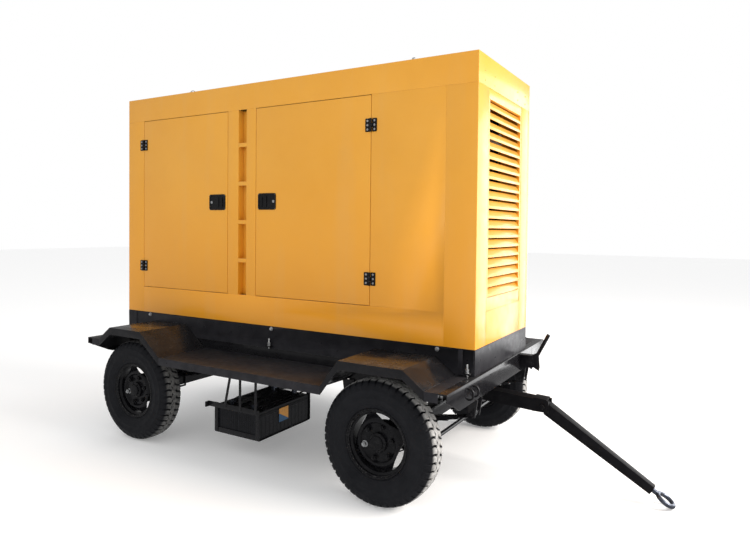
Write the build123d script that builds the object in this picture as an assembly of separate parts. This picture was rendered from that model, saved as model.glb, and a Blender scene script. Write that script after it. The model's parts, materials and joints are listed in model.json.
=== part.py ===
from build123d import *
import math
import os

# Towable diesel generator: a silenced generator canopy on a four-wheel, front-steered trailer.
# Millimetres. +X points forward, to the drawbar; +Y to the left; +Z up; the ground is z = 0 in the files.
# Everything is drawn about the canopy's centre in X, with the ground at GROUND_Z, and moved at the
# end so that the origin is on the ground at the centre of the overall box.

X_ORIGIN = 565.805
GROUND_Z = -12.0

# ---- canopy ----
CANOPY_HALF_L = 1685.0
CANOPY_HALF_W = 549.0
BASE_Z = 783.0            # underside of the generator base, top of the chassis
CANOPY_Z = 956.0          # underside of the canopy
DOOR_Z0 = 1180.0
DOOR_Z1 = 2656.0
ROOF_Z = 2856.0
SHEET = 3.0
STIFFENER_X = (-1602.0, 1570.0)
STIFFENER_W = 32.0        # upright bars on the base's sides
PAN_DEPTH = 38.0          # returned edge of a door or panel
DOOR_GAP = 4.0
REAR_DOOR = (-1476.0, -462.0)
FRONT_DOOR = (-157.0, 894.0)
FIXED_PANEL = (898.0, 1465.0)
RECESS = (-344.0, -259.0)
RECESS_DEPTH = 62.0
RUNG_Z = (1456.0, 1763.0, 2070.0, 2377.0)
END_PANEL_HALF_W = 358.0
LOUVRE_HALF_W = 332.0
LOUVRE_Z = (1269.0, 2588.0)
SLAT_COUNT = 20
HINGE_Z = (1370.0, 2443.0)
HINGE_H = 93.0
HINGE_LEAF = 38.0
HINGE_PIN_R = 4.0
HINGE_BARREL_R = 8.0
HINGE_AXIS_OUT = 9.0      # pin axis, outside the canopy side
RUNNING = 0.06            # radial clearance of a turning fit
LATCH_Z = 1924.0
LATCH_W = 180.0
LATCH_H = 128.0
LATCH_DEEP = 26.0
LATCH_GAP = 0.5           # around the latch dish in the door skin
LATCH_EDGE = 22.0         # from the door's free edge to the latch housing
PADDLE_W = 62.0
PADDLE_H = 84.0
PADDLE_PIN_R = 2.5

# ---- chassis ----
RAIL_H = 140.0
RAIL_W = 58.0
RAIL_OUT = 545.0          # outer face of the rail's web
CHASSIS_REAR = -1590.0
CHASSIS_FRONT = 1703.0
RAIL_Z = BASE_Z - RAIL_H
DECK_HALF_W = 1018.0
PLATFORM_Z = 710.0
DECK_T = 6.0
VALANCE = 58.0
FENDER_Z = 889.0
FENDER_T = 5.0

# ---- wheels, axles and springs ----
FRONT_AXLE_X = 1198.0
REAR_AXLE_X = -1090.0
AXLE_H = 90.0
TYRE_R = 400.0
AXLE_Z = GROUND_Z + TYRE_R
TYRE_HALF_W = 95.0
WHEEL_Y = 882.0
RIM_R = 203.0
RIM_HALF_W = 70.0
DISC_OUT = 26.0           # inner face of the wheel disc, outside the wheel's centre plane
DISC_T = 8.0
RIM_FLANGE_R = 220.0
DISC_FLAT = 148.0         # from the axle to a window's inner edge
WINDOW_TURNS = (66, 156, 246, 336)
HUB_R = 61.0
STUD_CIRCLE_R = 102.0
SPINDLE_R = 30.0
SPINDLE_END = WHEEL_Y + 48
KING_Y = 720.0
KING_R = 16.0
STEER_ARM = 245.0         # from the king pin line to the tie rod
TIE_Z = AXLE_Z - 21
KNUCKLE_H = 84.0          # half height of a steering knuckle
EAR_T = 32.0
STEER_ARM_T = 18.0
SPRING_Y = 515.0
SPRING_W = 70.0
SPRING_HALF_L = 470.0
SPRING_CAMBER = 60.0
LEAF_T = 8.0
LEAF_COUNT = 5
EYE_R = 24.0
SPRING_PIN_R = 12.0
U_BOLT_R = 8.0

# ---- drawbar ----
ARM_TOP_Z = (605.0, 560.0)    # at the axle and at the knee
ARM_H = 86.0
ARM_HALF_W = 50.0
ARM_WALL = 9.0
KNEE_X = 1985.0
KNEE_Z = 514.0
KNEE_GAP = 50.0           # from the arm's tube to the knee pin
KNEE_PIN_R = 15.0
KNEE_BOSS_R = 41.0
ARM_PIN_R = 20.0
TIE_STUD_R = 12.0
BALL_STUD_R = 9.0
POLE_HALF = (40.0, 27.5)  # half the pole's size at the knee and at the eye
POLE_WALL = 6.0
POLE_SLOPE = 31.7         # degrees below level when parked
POLE_L = 820.0
EYE_CENTRE = 909.0
EYE_MAJOR = 52.0
EYE_BAR_R = 14.0
EYE_HOLE_R = 40.0
EYE_SHANK_R = 16.0
LIFT_X = 1110.0
LIFT_Y = 320.0
LIFT_UP = 46.0            # ring centre above the roof
LIFT_MAJOR = 28.0
LIFT_BAR_R = 9.0
LIFT_HOLE_R = 21.0

# ---- handbrake ----
BRAKE_X = 1800.0
BRAKE_Z = 715.0
BRAKE_Y = 358.0
BRAKE_TIP = (1914.0, 940.0)

# ---- battery cradle ----
CRADLE_X = (-350.0, 100.0)
CRADLE_Y = (-785.0, -170.0)
CRADLE_Z = (141.0, 366.0)
ANGLE = 40.0
ANGLE_T = 4.0

# ---- generating set ----
SHAFT_Z = 1390.0          # crank and alternator axis
ENGINE_X = (-60.0, 860.0)
ALTERNATOR_X = (-1010.0, -260.0)
FAN_X = 985.0
FAN_Z = 1560.0
FAN_R = 330.0
FAN_SPINDLE_R = 12.0
RADIATOR_X = (1075.0, 1185.0)
FILLER_X = -300.0
FILLER_Y = -430.0
FILLER_R = 30.0
FILLER_TOP = 990.0
STOP_X = -1130.0
STOP_Z = 1650.0
STOP_R = 8.0


def block(x0, x1, y0, y1, z0, z1):
    """A box between two corners."""
    centre = Pos((x0 + x1) / 2, (y0 + y1) / 2, (z0 + z1) / 2)
    return (centre * Box(abs(x1 - x0), abs(y1 - y0), abs(z1 - z0))).solid()


def rod(start, end, radius):
    """A round bar between two points."""
    way = Vector(*end) - Vector(*start)
    return Solid.make_cylinder(radius, way.length, Plane(origin=start, z_dir=way))


def prism(points, way):
    """A straight prism with a flat outline of 3-D points."""
    return Solid.extrude(Face(Wire.make_polygon([Vector(*p) for p in points], close=True)), Vector(*way))


def prism_y(points, y0, y1):
    return prism([(x, y0, z) for x, z in points], (0, y1 - y0, 0))


def prism_x(points, x0, x1):
    return prism([(x0, y, z) for y, z in points], (x1 - x0, 0, 0))


def prism_z(points, z0, z1):
    return prism([(x, y, z0) for x, y in points], (0, 0, z1 - z0))


def join(first, *others):
    """One solid from solids that touch or overlap."""
    return first.fuse(*others).clean().solid()


def carve(host, *tools):
    """The host with every tool's volume taken out of it."""
    return host.cut(*tools).solid()


def hexagon(centre, axis, across, height):
    """A bolt head or nut, standing on a surface."""
    plane = Plane(origin=centre, z_dir=axis)
    return extrude(plane * RegularPolygon(across / math.sqrt(3), 6), amount=height).solid()


def both_sides(solids):
    """The solids and their mirror images on the other side of the trailer."""
    return list(solids) + [solid.mirror(Plane.XZ) for solid in solids]


def both_ends(solids):
    return list(solids) + [solid.mirror(Plane.YZ) for solid in solids]


def revolve_y(points, centre):
    """A ring about the Y axis through centre; points are (radius, y offset)."""
    cx, cy, cz = centre
    outline = Wire.make_polygon([Vector(cx + r, cy + y, cz) for r, y in points], close=True)
    return Solid.revolve(Face(outline), 360, Axis(centre, (0, 1, 0)))


# ------------------------------------------------------------------ chassis

def channel_beam(x0, x1, side):
    """A longitudinal C channel with its web outwards."""
    web_in = RAIL_OUT - 6
    flange_in = RAIL_OUT - RAIL_W
    section = [
        (RAIL_OUT, RAIL_Z), (RAIL_OUT, BASE_Z), (flange_in, BASE_Z), (flange_in, BASE_Z - 9),
        (web_in, BASE_Z - 9), (web_in, RAIL_Z + 9), (flange_in, RAIL_Z + 9), (flange_in, RAIL_Z),
    ]
    return prism_x([(side * y, z) for y, z in section], x0, x1)


def chassis_rails():
    return [channel_beam(CHASSIS_REAR + RAIL_W, CHASSIS_FRONT - RAIL_W, side) for side in (-1, 1)]


def end_channel(face_x, inward):
    """A full-width cross channel whose web faces outwards and whose lower corners are cut off."""
    back = face_x + inward * RAIL_W
    section = [
        (face_x, RAIL_Z), (face_x, BASE_Z), (back, BASE_Z), (back, BASE_Z - 9),
        (face_x + inward * 6, BASE_Z - 9), (face_x + inward * 6, RAIL_Z + 9),
        (back, RAIL_Z + 9), (back, RAIL_Z),
    ]
    beam = prism_y(section, -DECK_HALF_W, DECK_HALF_W)
    cut_w, cut_h = 195, 92
    low, high = face_x - 80, face_x + 80
    for side in (-1, 1):
        corner = [(side * (DECK_HALF_W + 1), RAIL_Z - 1), (side * (DECK_HALF_W + 1), RAIL_Z + cut_h),
                  (side * (DECK_HALF_W - cut_w), RAIL_Z - 1)]
        beam = carve(beam, prism_x(corner, low, high))
    return beam


def lashing_loop(y):
    """A bent round bar welded to the front channel."""
    z0, z1, out = 680, 745, 34
    bar = 7
    x0 = CHASSIS_FRONT
    path = FilletPolyline((x0, y, z0), (x0 + out, y, z0), (x0 + out, y, z1), (x0, y, z1), radius=24)
    start = Plane(origin=(x0, y, z0), z_dir=(1, 0, 0))
    return sweep(start * Circle(bar), path=path).solid()


def cross_members():
    """Cross channels: the two full-width ends, four between the rails, and outriggers to the decks."""
    solids = [end_channel(CHASSIS_FRONT, -1), end_channel(CHASSIS_REAR, 1)]
    solids += [lashing_loop(y) for y in (-612, -700)]
    inner = RAIL_OUT - RAIL_W
    for x in (-1240, -560, 160, 820):
        solids.append(block(x - 30, x + 30, -inner, inner, RAIL_Z + 20, BASE_Z - 20))
    outriggers = []
    for x in (-560, -120, 320, 740):
        outriggers.append(prism_x([(-RAIL_OUT, RAIL_Z + 10), (-RAIL_OUT, PLATFORM_Z - DECK_T),
                                   (-(DECK_HALF_W - 12), PLATFORM_Z - DECK_T),
                                   (-(DECK_HALF_W - 12), PLATFORM_Z - 40)], x - 4, x + 4))
    return solids + both_sides(outriggers)


def platform():
    """The lower middle platform of the right side, with its outer valance."""
    x0, x1 = -715.0, 815.0
    plate = block(x0, x1, -DECK_HALF_W, -RAIL_OUT, PLATFORM_Z - DECK_T, PLATFORM_Z)
    skirt = block(x0, x1, -DECK_HALF_W, -DECK_HALF_W + DECK_T, PLATFORM_Z - VALANCE, PLATFORM_Z - DECK_T)
    return join(plate, skirt)


def corner_deck(x0, x1):
    """A short raised deck plate between a fender's foot and an end channel."""
    plate = block(x0, x1, -DECK_HALF_W, -RAIL_OUT, BASE_Z - DECK_T, BASE_Z)
    skirt = block(x0, x1, -DECK_HALF_W, -DECK_HALF_W + DECK_T, BASE_Z - VALANCE, BASE_Z - DECK_T)
    return join(plate, skirt)


def side_decks():
    rear = corner_deck(CHASSIS_REAR + RAIL_W, -1447)
    front = corner_deck(1556, CHASSIS_FRONT - RAIL_W)
    return both_sides([platform(), rear, front])


def fender(points):
    """A folded plate over a wheel: points run along its top, in X and Z; it has an outer valance."""
    lowered = [(x, z - FENDER_T) for x, z in reversed(points)]
    skin = prism_y(points + lowered, -DECK_HALF_W, -CANOPY_HALF_W)
    hem = [(x, z - VALANCE) for x, z in reversed(points)]
    valance = prism_y(points + hem, -DECK_HALF_W, -DECK_HALF_W + FENDER_T)
    return join(skin, valance)


def fenders():
    front = fender([(815, PLATFORM_Z), (951, FENDER_Z), (1411, FENDER_Z), (1556, BASE_Z)])
    rear = fender([(-1447, BASE_Z), (-1308, FENDER_Z), (-939, FENDER_Z), (-715, PLATFORM_Z)])
    return both_sides([front, rear])


# ------------------------------------------------------------------ springs and axles

SPRING_SEAT_Z = AXLE_Z + AXLE_H / 2
PACK_T = LEAF_T * LEAF_COUNT
MAIN_R = (SPRING_HALF_L ** 2 + SPRING_CAMBER ** 2) / (2 * SPRING_CAMBER)
SPRING_EYE_Z = SPRING_SEAT_Z + PACK_T + SPRING_CAMBER + EYE_R - LEAF_T


def leaf(axle_x, radius, half_length):
    """One curved leaf; radius is of its upper face, about a centre above the axle."""
    centre_z = SPRING_SEAT_Z + PACK_T + MAIN_R
    turn = math.degrees(half_length / radius)

    def point(r, degrees):
        a = math.radians(degrees)
        return Vector(axle_x + r * math.sin(a), -SPRING_Y - SPRING_W / 2, centre_z - r * math.cos(a))

    low = radius + LEAF_T
    edges = [
        ThreePointArc(point(radius, -turn), point(radius, 0), point(radius, turn)),
        Line(point(radius, turn), point(low, turn)),
        ThreePointArc(point(low, turn), point(low, 0), point(low, -turn)),
        Line(point(low, -turn), point(radius, -turn)),
    ]
    return Solid.extrude(Face(Wire(edges)), Vector(0, SPRING_W, 0))


def spring_pins(axle_x):
    y0, y1 = -SPRING_Y - 52, -SPRING_Y + 52
    ends = (axle_x - SPRING_HALF_L, axle_x + SPRING_HALF_L)
    return [rod((x, y0, SPRING_EYE_Z), (x, y1, SPRING_EYE_Z), SPRING_PIN_R) for x in ends]


def leaf_pack(axle_x):
    """Leaves on the right spring, longest at the top, with rolled eyes on the main leaf."""
    pins = spring_pins(axle_x)
    main = leaf(axle_x, MAIN_R, SPRING_HALF_L)
    y0, y1 = -SPRING_Y - SPRING_W / 2, -SPRING_Y + SPRING_W / 2
    for d in (-1, 1):
        x = axle_x + d * SPRING_HALF_L
        main = join(main, rod((x, y0, SPRING_EYE_Z), (x, y1, SPRING_EYE_Z), EYE_R))
    leaves = [carve(main, *pins)]
    for i in range(1, LEAF_COUNT):
        leaves.append(leaf(axle_x, MAIN_R + LEAF_T * i, SPRING_HALF_L * (0.97 - 0.16 * i)))
    return leaves


def leaf_springs():
    return both_sides(leaf_pack(FRONT_AXLE_X) + leaf_pack(REAR_AXLE_X))


def hanger(x, pin):
    """Two plates under the rail, which hold a spring eye's pin."""
    plates = []
    for y in (-SPRING_Y - SPRING_W / 2 - 11, -SPRING_Y + SPRING_W / 2 + 1):
        foot_z = SPRING_EYE_Z - EYE_R
        plate = prism_y([(x - 45, RAIL_Z), (x + 45, RAIL_Z), (x + 26, foot_z), (x - 26, foot_z)], y, y + 10)
        plates.append(carve(plate, pin))
    return plates


def u_bolts(axle_x):
    """Two U bolts over one spring seat, with their clamp plate and nuts."""
    y_out = SPRING_W / 2 + 9
    x_half = AXLE_H / 2 + 1
    top = SPRING_SEAT_Z + PACK_T + 2
    foot_z = AXLE_Z - AXLE_H / 2 - U_BOLT_R - 1
    plate = block(axle_x - 70, axle_x + 70, -SPRING_Y - 58, -SPRING_Y + 58, top, top + 12)
    bolts, nuts = [], []
    for dx in (-x_half - 9, x_half + 9):
        x = axle_x + dx
        sides = (-SPRING_Y - y_out, -SPRING_Y + y_out)
        legs = [rod((x, y, foot_z), (x, y, top + 30), U_BOLT_R) for y in sides]
        foot = rod((x, sides[0], foot_z), (x, sides[1], foot_z), U_BOLT_R)
        bolts.append(join(legs[0], legs[1], foot))
        nuts += [hexagon((x, y, top + 12), (0, 0, 1), 24, 13) for y in sides]
    plate = carve(plate, *bolts)
    nuts = [carve(nut, *bolts) for nut in nuts]
    return [plate] + bolts + nuts


def spring_fittings():
    solids = []
    for axle_x in (FRONT_AXLE_X, REAR_AXLE_X):
        pins = spring_pins(axle_x)
        solids += pins
        for d, pin in zip((-1, 1), pins):
            solids += hanger(axle_x + d * SPRING_HALF_L, pin)
        solids += u_bolts(axle_x)
    return both_sides(solids)


def king_pin(side):
    half, y = KNUCKLE_H + 10, side * KING_Y
    return rod((FRONT_AXLE_X, y, AXLE_Z - half), (FRONT_AXLE_X, y, AXLE_Z + half), KING_R)


def drawbar_pin():
    return rod((FRONT_AXLE_X, 0, SPRING_SEAT_Z), (FRONT_AXLE_X, 0, ARM_TOP_Z[0] + 23), ARM_PIN_R)


def front_axle_beam():
    """A square beam with a king pin boss at each end."""
    half = AXLE_H / 2
    reach = KING_Y - 52
    beam = block(FRONT_AXLE_X - half, FRONT_AXLE_X + half, -reach, reach, AXLE_Z - half, AXLE_Z + half)
    for side in (-1, 1):
        y = side * KING_Y
        neck = block(FRONT_AXLE_X - 28, FRONT_AXLE_X + 28, side * (reach - 8), y, AXLE_Z - 38, AXLE_Z + 38)
        boss = rod((FRONT_AXLE_X, y, AXLE_Z - 50), (FRONT_AXLE_X, y, AXLE_Z + 50), 32)
        beam = join(beam, neck, boss)
    return [carve(beam, king_pin(-1), king_pin(1))]


def rear_axle_beam():
    """A square beam whose turned ends are the rear wheels' spindles."""
    half = AXLE_H / 2
    shoulder = WHEEL_Y - 100
    beam = block(REAR_AXLE_X - half, REAR_AXLE_X + half, -shoulder, shoulder, AXLE_Z - half, AXLE_Z + half)
    spindle = rod((REAR_AXLE_X, -SPINDLE_END, AXLE_Z), (REAR_AXLE_X, SPINDLE_END, AXLE_Z), SPINDLE_R)
    return [join(beam, spindle)]


def knuckle(side):
    """A steering knuckle: two ears on the king pin, a web, the wheel's spindle and a steering arm."""
    x, y = FRONT_AXLE_X, side * KING_Y
    low, high = AXLE_Z - KNUCKLE_H, AXLE_Z + KNUCKLE_H
    web_in, web_out = side * (KING_Y + 38), side * (KING_Y + 58)
    hole = rod((x, y, low - 20), (x, y, high + 20), KING_R + RUNNING)
    web = block(x - 45, x + 45, web_in, web_out, low, high)
    ears = [block(x - 38, x + 38, side * (KING_Y - 34), side * (KING_Y + 42), z, z + EAR_T)
            for z in (low, high - EAR_T)]
    spindle = rod((x, web_out - side * 8, AXLE_Z), (x, side * SPINDLE_END, AXLE_Z), SPINDLE_R)
    ball_x, arm_top_z = x + STEER_ARM, low + STEER_ARM_T
    arm = prism_z([(x + 20, side * (KING_Y + 25)), (ball_x + 22, side * (KING_Y + 16)),
                   (ball_x + 22, side * (KING_Y - 16)), (x + 20, side * (KING_Y - 28))], low, arm_top_z)
    ball_hole = rod((ball_x, y, low - 6), (ball_x, y, arm_top_z + 6), BALL_STUD_R + RUNNING)
    return [carve(join(web, ears[0], ears[1], spindle, arm), hole, ball_hole)]


def tie_rod():
    """The steering rod, with a ball stud down into each knuckle arm and one up into the drawbar arm."""
    x = FRONT_AXLE_X + STEER_ARM
    bar = rod((x, -KING_Y, TIE_Z), (x, KING_Y, TIE_Z), 14)
    heads = [rod((x, side * KING_Y, TIE_Z - 24), (x, side * KING_Y, TIE_Z + 24), 24) for side in (-1, 1)]
    foot = AXLE_Z - KNUCKLE_H - 4
    studs = [rod((x, side * KING_Y, foot), (x, side * KING_Y, TIE_Z), BALL_STUD_R) for side in (-1, 1)]
    centre = rod((x, 0, TIE_Z - 22), (x, 0, TIE_Z + 22), 26)
    stud = rod((x, 0, TIE_Z), (x, 0, arm_bottom(x) + 4), TIE_STUD_R)
    return [join(bar, centre, stud, *heads, *studs)]


# ------------------------------------------------------------------ wheels

def wheel_centre(axle_x, side):
    return (axle_x, side * WHEEL_Y, AXLE_Z)


def tyre(axle_x, side):
    """A pneumatic tyre: a carcass of even wall, open at the rim."""
    outer = [(RIM_R, RIM_HALF_W), (RIM_FLANGE_R + 1, RIM_HALF_W), (236, 80), (262, 91), (298, TYRE_HALF_W),
             (338, 92), (370, 83), (388, 70), (398, 50), (TYRE_R, 24)]
    inner = [(TYRE_R - 20, 46), (364, 66), (298, 82), (250, 75), (RIM_R, 54)]
    ring = outer + [(r, -y) for r, y in reversed(outer)]
    hollow = [(r, -y) for r, y in reversed(inner)] + inner
    return [revolve_y(ring + hollow, wheel_centre(axle_x, side))]


def rim(axle_x, side):
    """A steel rim and dished disc with four chord-shaped windows and a stud circle."""
    cx, cy, cz = wheel_centre(axle_x, side)
    half = RIM_HALF_W
    barrel = revolve_y([(RIM_R - 12, -half), (RIM_R, -half), (RIM_R, half), (RIM_R - 12, half)], (cx, cy, cz))
    flanges = []
    for end in (-1, 1):
        flange = [(RIM_R - 12, end * half), (RIM_FLANGE_R, end * half), (RIM_FLANGE_R, end * (half + 6)),
                  (RIM_R - 12, end * (half + 6))]
        flanges.append(revolve_y(flange, (cx, cy, cz)))
    near, far = side * DISC_OUT, side * (DISC_OUT + DISC_T)
    edge = RIM_R - 11
    disc = revolve_y([(HUB_R + 1, near), (edge, near), (edge, far), (HUB_R + 1, far)], (cx, cy, cz))
    ring = rod((cx, cy - 40, cz), (cx, cy + 40, cz), RIM_R - 20)
    windows = []
    for turn in WINDOW_TURNS:
        chord = block(DISC_FLAT, RIM_R, -50, 50, -120, 120)
        chord = Pos(cx, cy, cz) * (Rot(0, -turn, 0) * chord)
        windows.append(chord.intersect(ring).solid())
    return [carve(join(barrel, flanges[0], flanges[1], disc), *windows)]


def hub(axle_x, side):
    """A wheel hub: barrel with a bearing bore, flange behind the disc, six nuts and a dust cap."""
    cx, cy, cz = wheel_centre(axle_x, side)

    def y(offset):
        return cy + side * offset

    barrel = rod((cx, y(-84), cz), (cx, y(56), cz), HUB_R)
    drum = rod((cx, y(-70), cz), (cx, y(-30), cz), 118)
    flange = rod((cx, y(DISC_OUT - 14), cz), (cx, y(DISC_OUT), cz), 132)
    bore = rod((cx, y(-90), cz), (cx, y(52), cz), SPINDLE_R + RUNNING)
    body = carve(join(barrel, drum, flange), bore)
    cap = rod((cx, y(56), cz), (cx, y(76), cz), 46)
    nuts = []
    for i in range(6):
        a = math.radians(60 * i + 15)
        x, z = cx + STUD_CIRCLE_R * math.cos(a), cz + STUD_CIRCLE_R * math.sin(a)
        nuts.append(hexagon((x, y(DISC_OUT + DISC_T), z), (0, side, 0), 30, 22))
    return [body, cap] + nuts


# ------------------------------------------------------------------ drawbar

def arm_top(x):
    """Height of the arm's top, which falls from the axle to the knee."""
    return ARM_TOP_Z[0] + (ARM_TOP_Z[1] - ARM_TOP_Z[0]) * (x - FRONT_AXLE_X) / (KNEE_X - FRONT_AXLE_X)


def arm_bottom(x):
    return arm_top(x) - ARM_H


def arm_length(x0, x1, half_w, inset):
    """A length of the sloping arm, inset at its top and bottom."""
    outline = [(x0, arm_bottom(x0) + inset), (x0, arm_top(x0) - inset),
               (x1, arm_top(x1) - inset), (x1, arm_bottom(x1) + inset)]
    return prism_y(outline, -half_w, half_w)


def drawbar_arm():
    """A box arm, bored for the axle pin, with cheeks, a stop plate and the pin at the knee."""
    rear, end, nose = FRONT_AXLE_X - 55, KNEE_X - KNEE_GAP, KNEE_X + 42
    tube = arm_length(rear, end, ARM_HALF_W, 0)
    core = arm_length(FRONT_AXLE_X + 60, end + 1, ARM_HALF_W - ARM_WALL, ARM_WALL)
    stud_x = FRONT_AXLE_X + STEER_ARM
    floor = arm_bottom(stud_x)
    inside = ARM_HALF_W - ARM_WALL
    plug = block(stud_x - 40, stud_x + 40, -inside, inside, floor - 18, floor + ARM_WALL)
    cheek = [(end - 20, arm_bottom(end)), (end - 20, arm_top(end - 20)),
             (nose, arm_top(nose)), (nose, KNEE_Z - 38)]
    cheeks = [prism_y(cheek, s * (POLE_HALF[0] + 0.5), s * ARM_HALF_W) for s in (-1, 1)]
    lip0, lip1 = end - 14, KNEE_X + 30
    top = [(lip0, arm_top(lip0)), (lip0, arm_top(lip0) + 8), (lip1, arm_top(lip1) + 8), (lip1, arm_top(lip1))]
    arm = join(carve(tube, core), plug, prism_y(top, -ARM_HALF_W, ARM_HALF_W), *cheeks)
    axle_hole = rod((FRONT_AXLE_X, 0, floor - 30), (FRONT_AXLE_X, 0, arm_top(rear) + 10), ARM_PIN_R + RUNNING)
    stud_hole = rod((stud_x, 0, floor - 30), (stud_x, 0, floor + ARM_WALL + 1), TIE_STUD_R + RUNNING)
    return [carve(arm, axle_hole, stud_hole, knee_pin()), knee_pin()]


def knee_pin():
    return rod((KNEE_X, -ARM_HALF_W - 12, KNEE_Z), (KNEE_X, ARM_HALF_W + 12, KNEE_Z), KNEE_PIN_R)


def along_pole(solid):
    """Place a solid drawn along +X from the knee onto the parked pole."""
    return solid.moved(Location((KNEE_X, 0, KNEE_Z), (0, POLE_SLOPE, 0)))


def pole_length(x0, x1, wall):
    """A length of the tapering pole, from x0 to x1 beyond the knee, inset by a wall."""
    taper = (POLE_HALF[1] - POLE_HALF[0]) / POLE_L
    near, far = POLE_HALF[0] + taper * x0 - wall, POLE_HALF[0] + taper * x1 - wall
    outline = [(x0, -near), (x0, near), (x1, far), (x1, -far)]
    reach = POLE_HALF[0]
    return prism_y(outline, -reach, reach).intersect(prism_z(outline, -reach, reach)).solid()


def drawbar_pole():
    tube = pole_length(30, POLE_L, 0)
    core = pole_length(60, POLE_L + 1, POLE_WALL)
    boss = rod((0, -POLE_HALF[0], 0), (0, POLE_HALF[0], 0), KNEE_BOSS_R)
    hole = rod((0, -POLE_HALF[0] - 1, 0), (0, POLE_HALF[0] + 1, 0), KNEE_PIN_R + RUNNING)
    return [along_pole(carve(join(carve(tube, core), boss), hole))]


def tow_eye():
    """A forged ring on a shank that is welded into the pole's open end."""
    plug = pole_length(POLE_L - 70, POLE_L - 14, POLE_WALL)
    shank = rod((POLE_L - 20, 0, 0), (EYE_CENTRE - EYE_MAJOR, 0, 0), EYE_SHANK_R)
    ring = Solid.make_torus(EYE_MAJOR, EYE_BAR_R, Plane(origin=(EYE_CENTRE, 0, 0)))
    hole = rod((EYE_CENTRE, 0, -30), (EYE_CENTRE, 0, 30), EYE_HOLE_R)
    return [along_pole(carve(join(plug, shank, ring), hole))]


# ------------------------------------------------------------------ handbrake

def handbrake_bracket():
    """A bracket on the front channel, a notched sector plate and the lever's pivot pin."""
    x0 = CHASSIS_FRONT
    flange = block(x0, 1806, BRAKE_Y - 58, BRAKE_Y, BASE_Z - 6, BASE_Z)
    web = prism_y([(x0, BASE_Z - 6), (1806, BASE_Z - 6), (1790, 690), (x0, 650)], BRAKE_Y - 6, BRAKE_Y)
    pin = rod((BRAKE_X, BRAKE_Y - 12, BRAKE_Z), (BRAKE_X, BRAKE_Y + 18, BRAKE_Z), 8)
    sector = prism_y([(1783, 770), (1843, 803), (1852, 690), (1846, 660), (1766, 702)], BRAKE_Y, BRAKE_Y + 6)
    for i in range(5):
        angle = math.radians(62 - 11 * i)
        notch = (BRAKE_X + 98 * math.cos(angle), BRAKE_Z + 98 * math.sin(angle))
        sector = carve(sector, rod((notch[0], BRAKE_Y - 1, notch[1]), (notch[0], BRAKE_Y + 8, notch[1]), 5))
    return [carve(join(flange, web), pin), carve(sector, pin), pin]


def handbrake_lever():
    """A flat lever with a round grip; its short lower arm pulls the brake rod."""
    tip_x, tip_z = BRAKE_TIP
    length = math.hypot(tip_x - BRAKE_X, tip_z - BRAKE_Z)
    lean = math.degrees(math.atan2(tip_x - BRAKE_X, tip_z - BRAKE_Z))
    y0 = BRAKE_Y + 6.5
    flat = block(-13, 13, y0, y0 + 8, -50, length - 95)
    grip = rod((0, y0 + 4, length - 105), (0, y0 + 4, length), 14)
    hole = rod((0, y0 - 1, 0), (0, y0 + 12, 0), 8 + RUNNING)
    lever = carve(join(flat, grip), hole)
    return [lever.moved(Location((BRAKE_X, 0, BRAKE_Z), (0, lean, 0)))]


# ------------------------------------------------------------------ battery cradle

def angle_x(x0, x1, y, z, inward_y):
    """An angle bar along X with its corner at y, z."""
    leg = block(x0, x1, y, y + inward_y * ANGLE_T, z + ANGLE_T, z + ANGLE)
    floor = block(x0, x1, y, y + inward_y * ANGLE, z, z + ANGLE_T)
    return join(leg, floor)


def battery_cradle():
    """An angle-iron basket: floor frame, corner posts, a front rail with a turned-out lug and hangers."""
    (x0, x1), (y0, y1), (z0, z1) = CRADLE_X, CRADLE_Y, CRADLE_Z
    bars = [angle_x(x0, x1, y0, z0, 1), angle_x(x0, x1, y1, z0, -1)]
    for x, inward in ((x0, 1), (x1, -1)):
        bars.append(block(x, x + inward * ANGLE, y0 + ANGLE, y1 - ANGLE, z0, z0 + ANGLE_T))
        for y, into in ((y0, 1), (y1, -1)):
            bars.append(block(x, x + inward * 34, y - into * ANGLE_T, y, z0 + 8, z1 + 6))
    bars.append(block(x0 - 62, x1, y0 - 2 * ANGLE_T, y0 - ANGLE_T, z1 - 34, z1 + 6))
    bars.append(block(x0 - 62, x0 - 50, y0 - 44, y0 - 2 * ANGLE_T, z1 - 34, z1 + 6))
    top = PLATFORM_Z - DECK_T
    for y, into in ((y0, 1), (y1, -1)):
        y_a, y_b = y - into * ANGLE_T, y
        if into > 0:
            y_a, y_b = y0 - 3 * ANGLE_T, y0 - 2 * ANGLE_T
        for foot, head in ((-250, -170), (-94, -94), (60, 60)):
            lift = top if into > 0 else RAIL_Z + 20
            outline = [(foot, z1 - 20), (foot + 24, z1 - 20), (head + 24, lift), (head, lift)]
            bars.append(prism_y(outline, y_a, y_b))
    carrier = block(-530, 130, y1, y1 + 40, RAIL_Z + 20, RAIL_Z + 60)
    return bars + [carrier]


def batteries():
    """Two starter batteries side by side, each with a lid and two terminal posts."""
    solids = []
    z0 = CRADLE_Z[0] + ANGLE_T
    y0, y1 = CRADLE_Y[0] + 8, CRADLE_Y[1] - 8
    for x0 in (CRADLE_X[0] + 6, CRADLE_X[0] + 6 + 218):
        x1 = x0 + 214
        case = block(x0, x1, y0, y1, z0, z0 + 190)
        lid = block(x0, x1, y0, y1, z0 + 190, z0 + 214)
        solids += [case, lid]
        for y in (y0 + 60, y1 - 60):
            solids.append(rod((x0 + 107, y, z0 + 214), (x0 + 107, y, z0 + 236), 9))
    return solids


# ------------------------------------------------------------------ base and canopy

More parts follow.
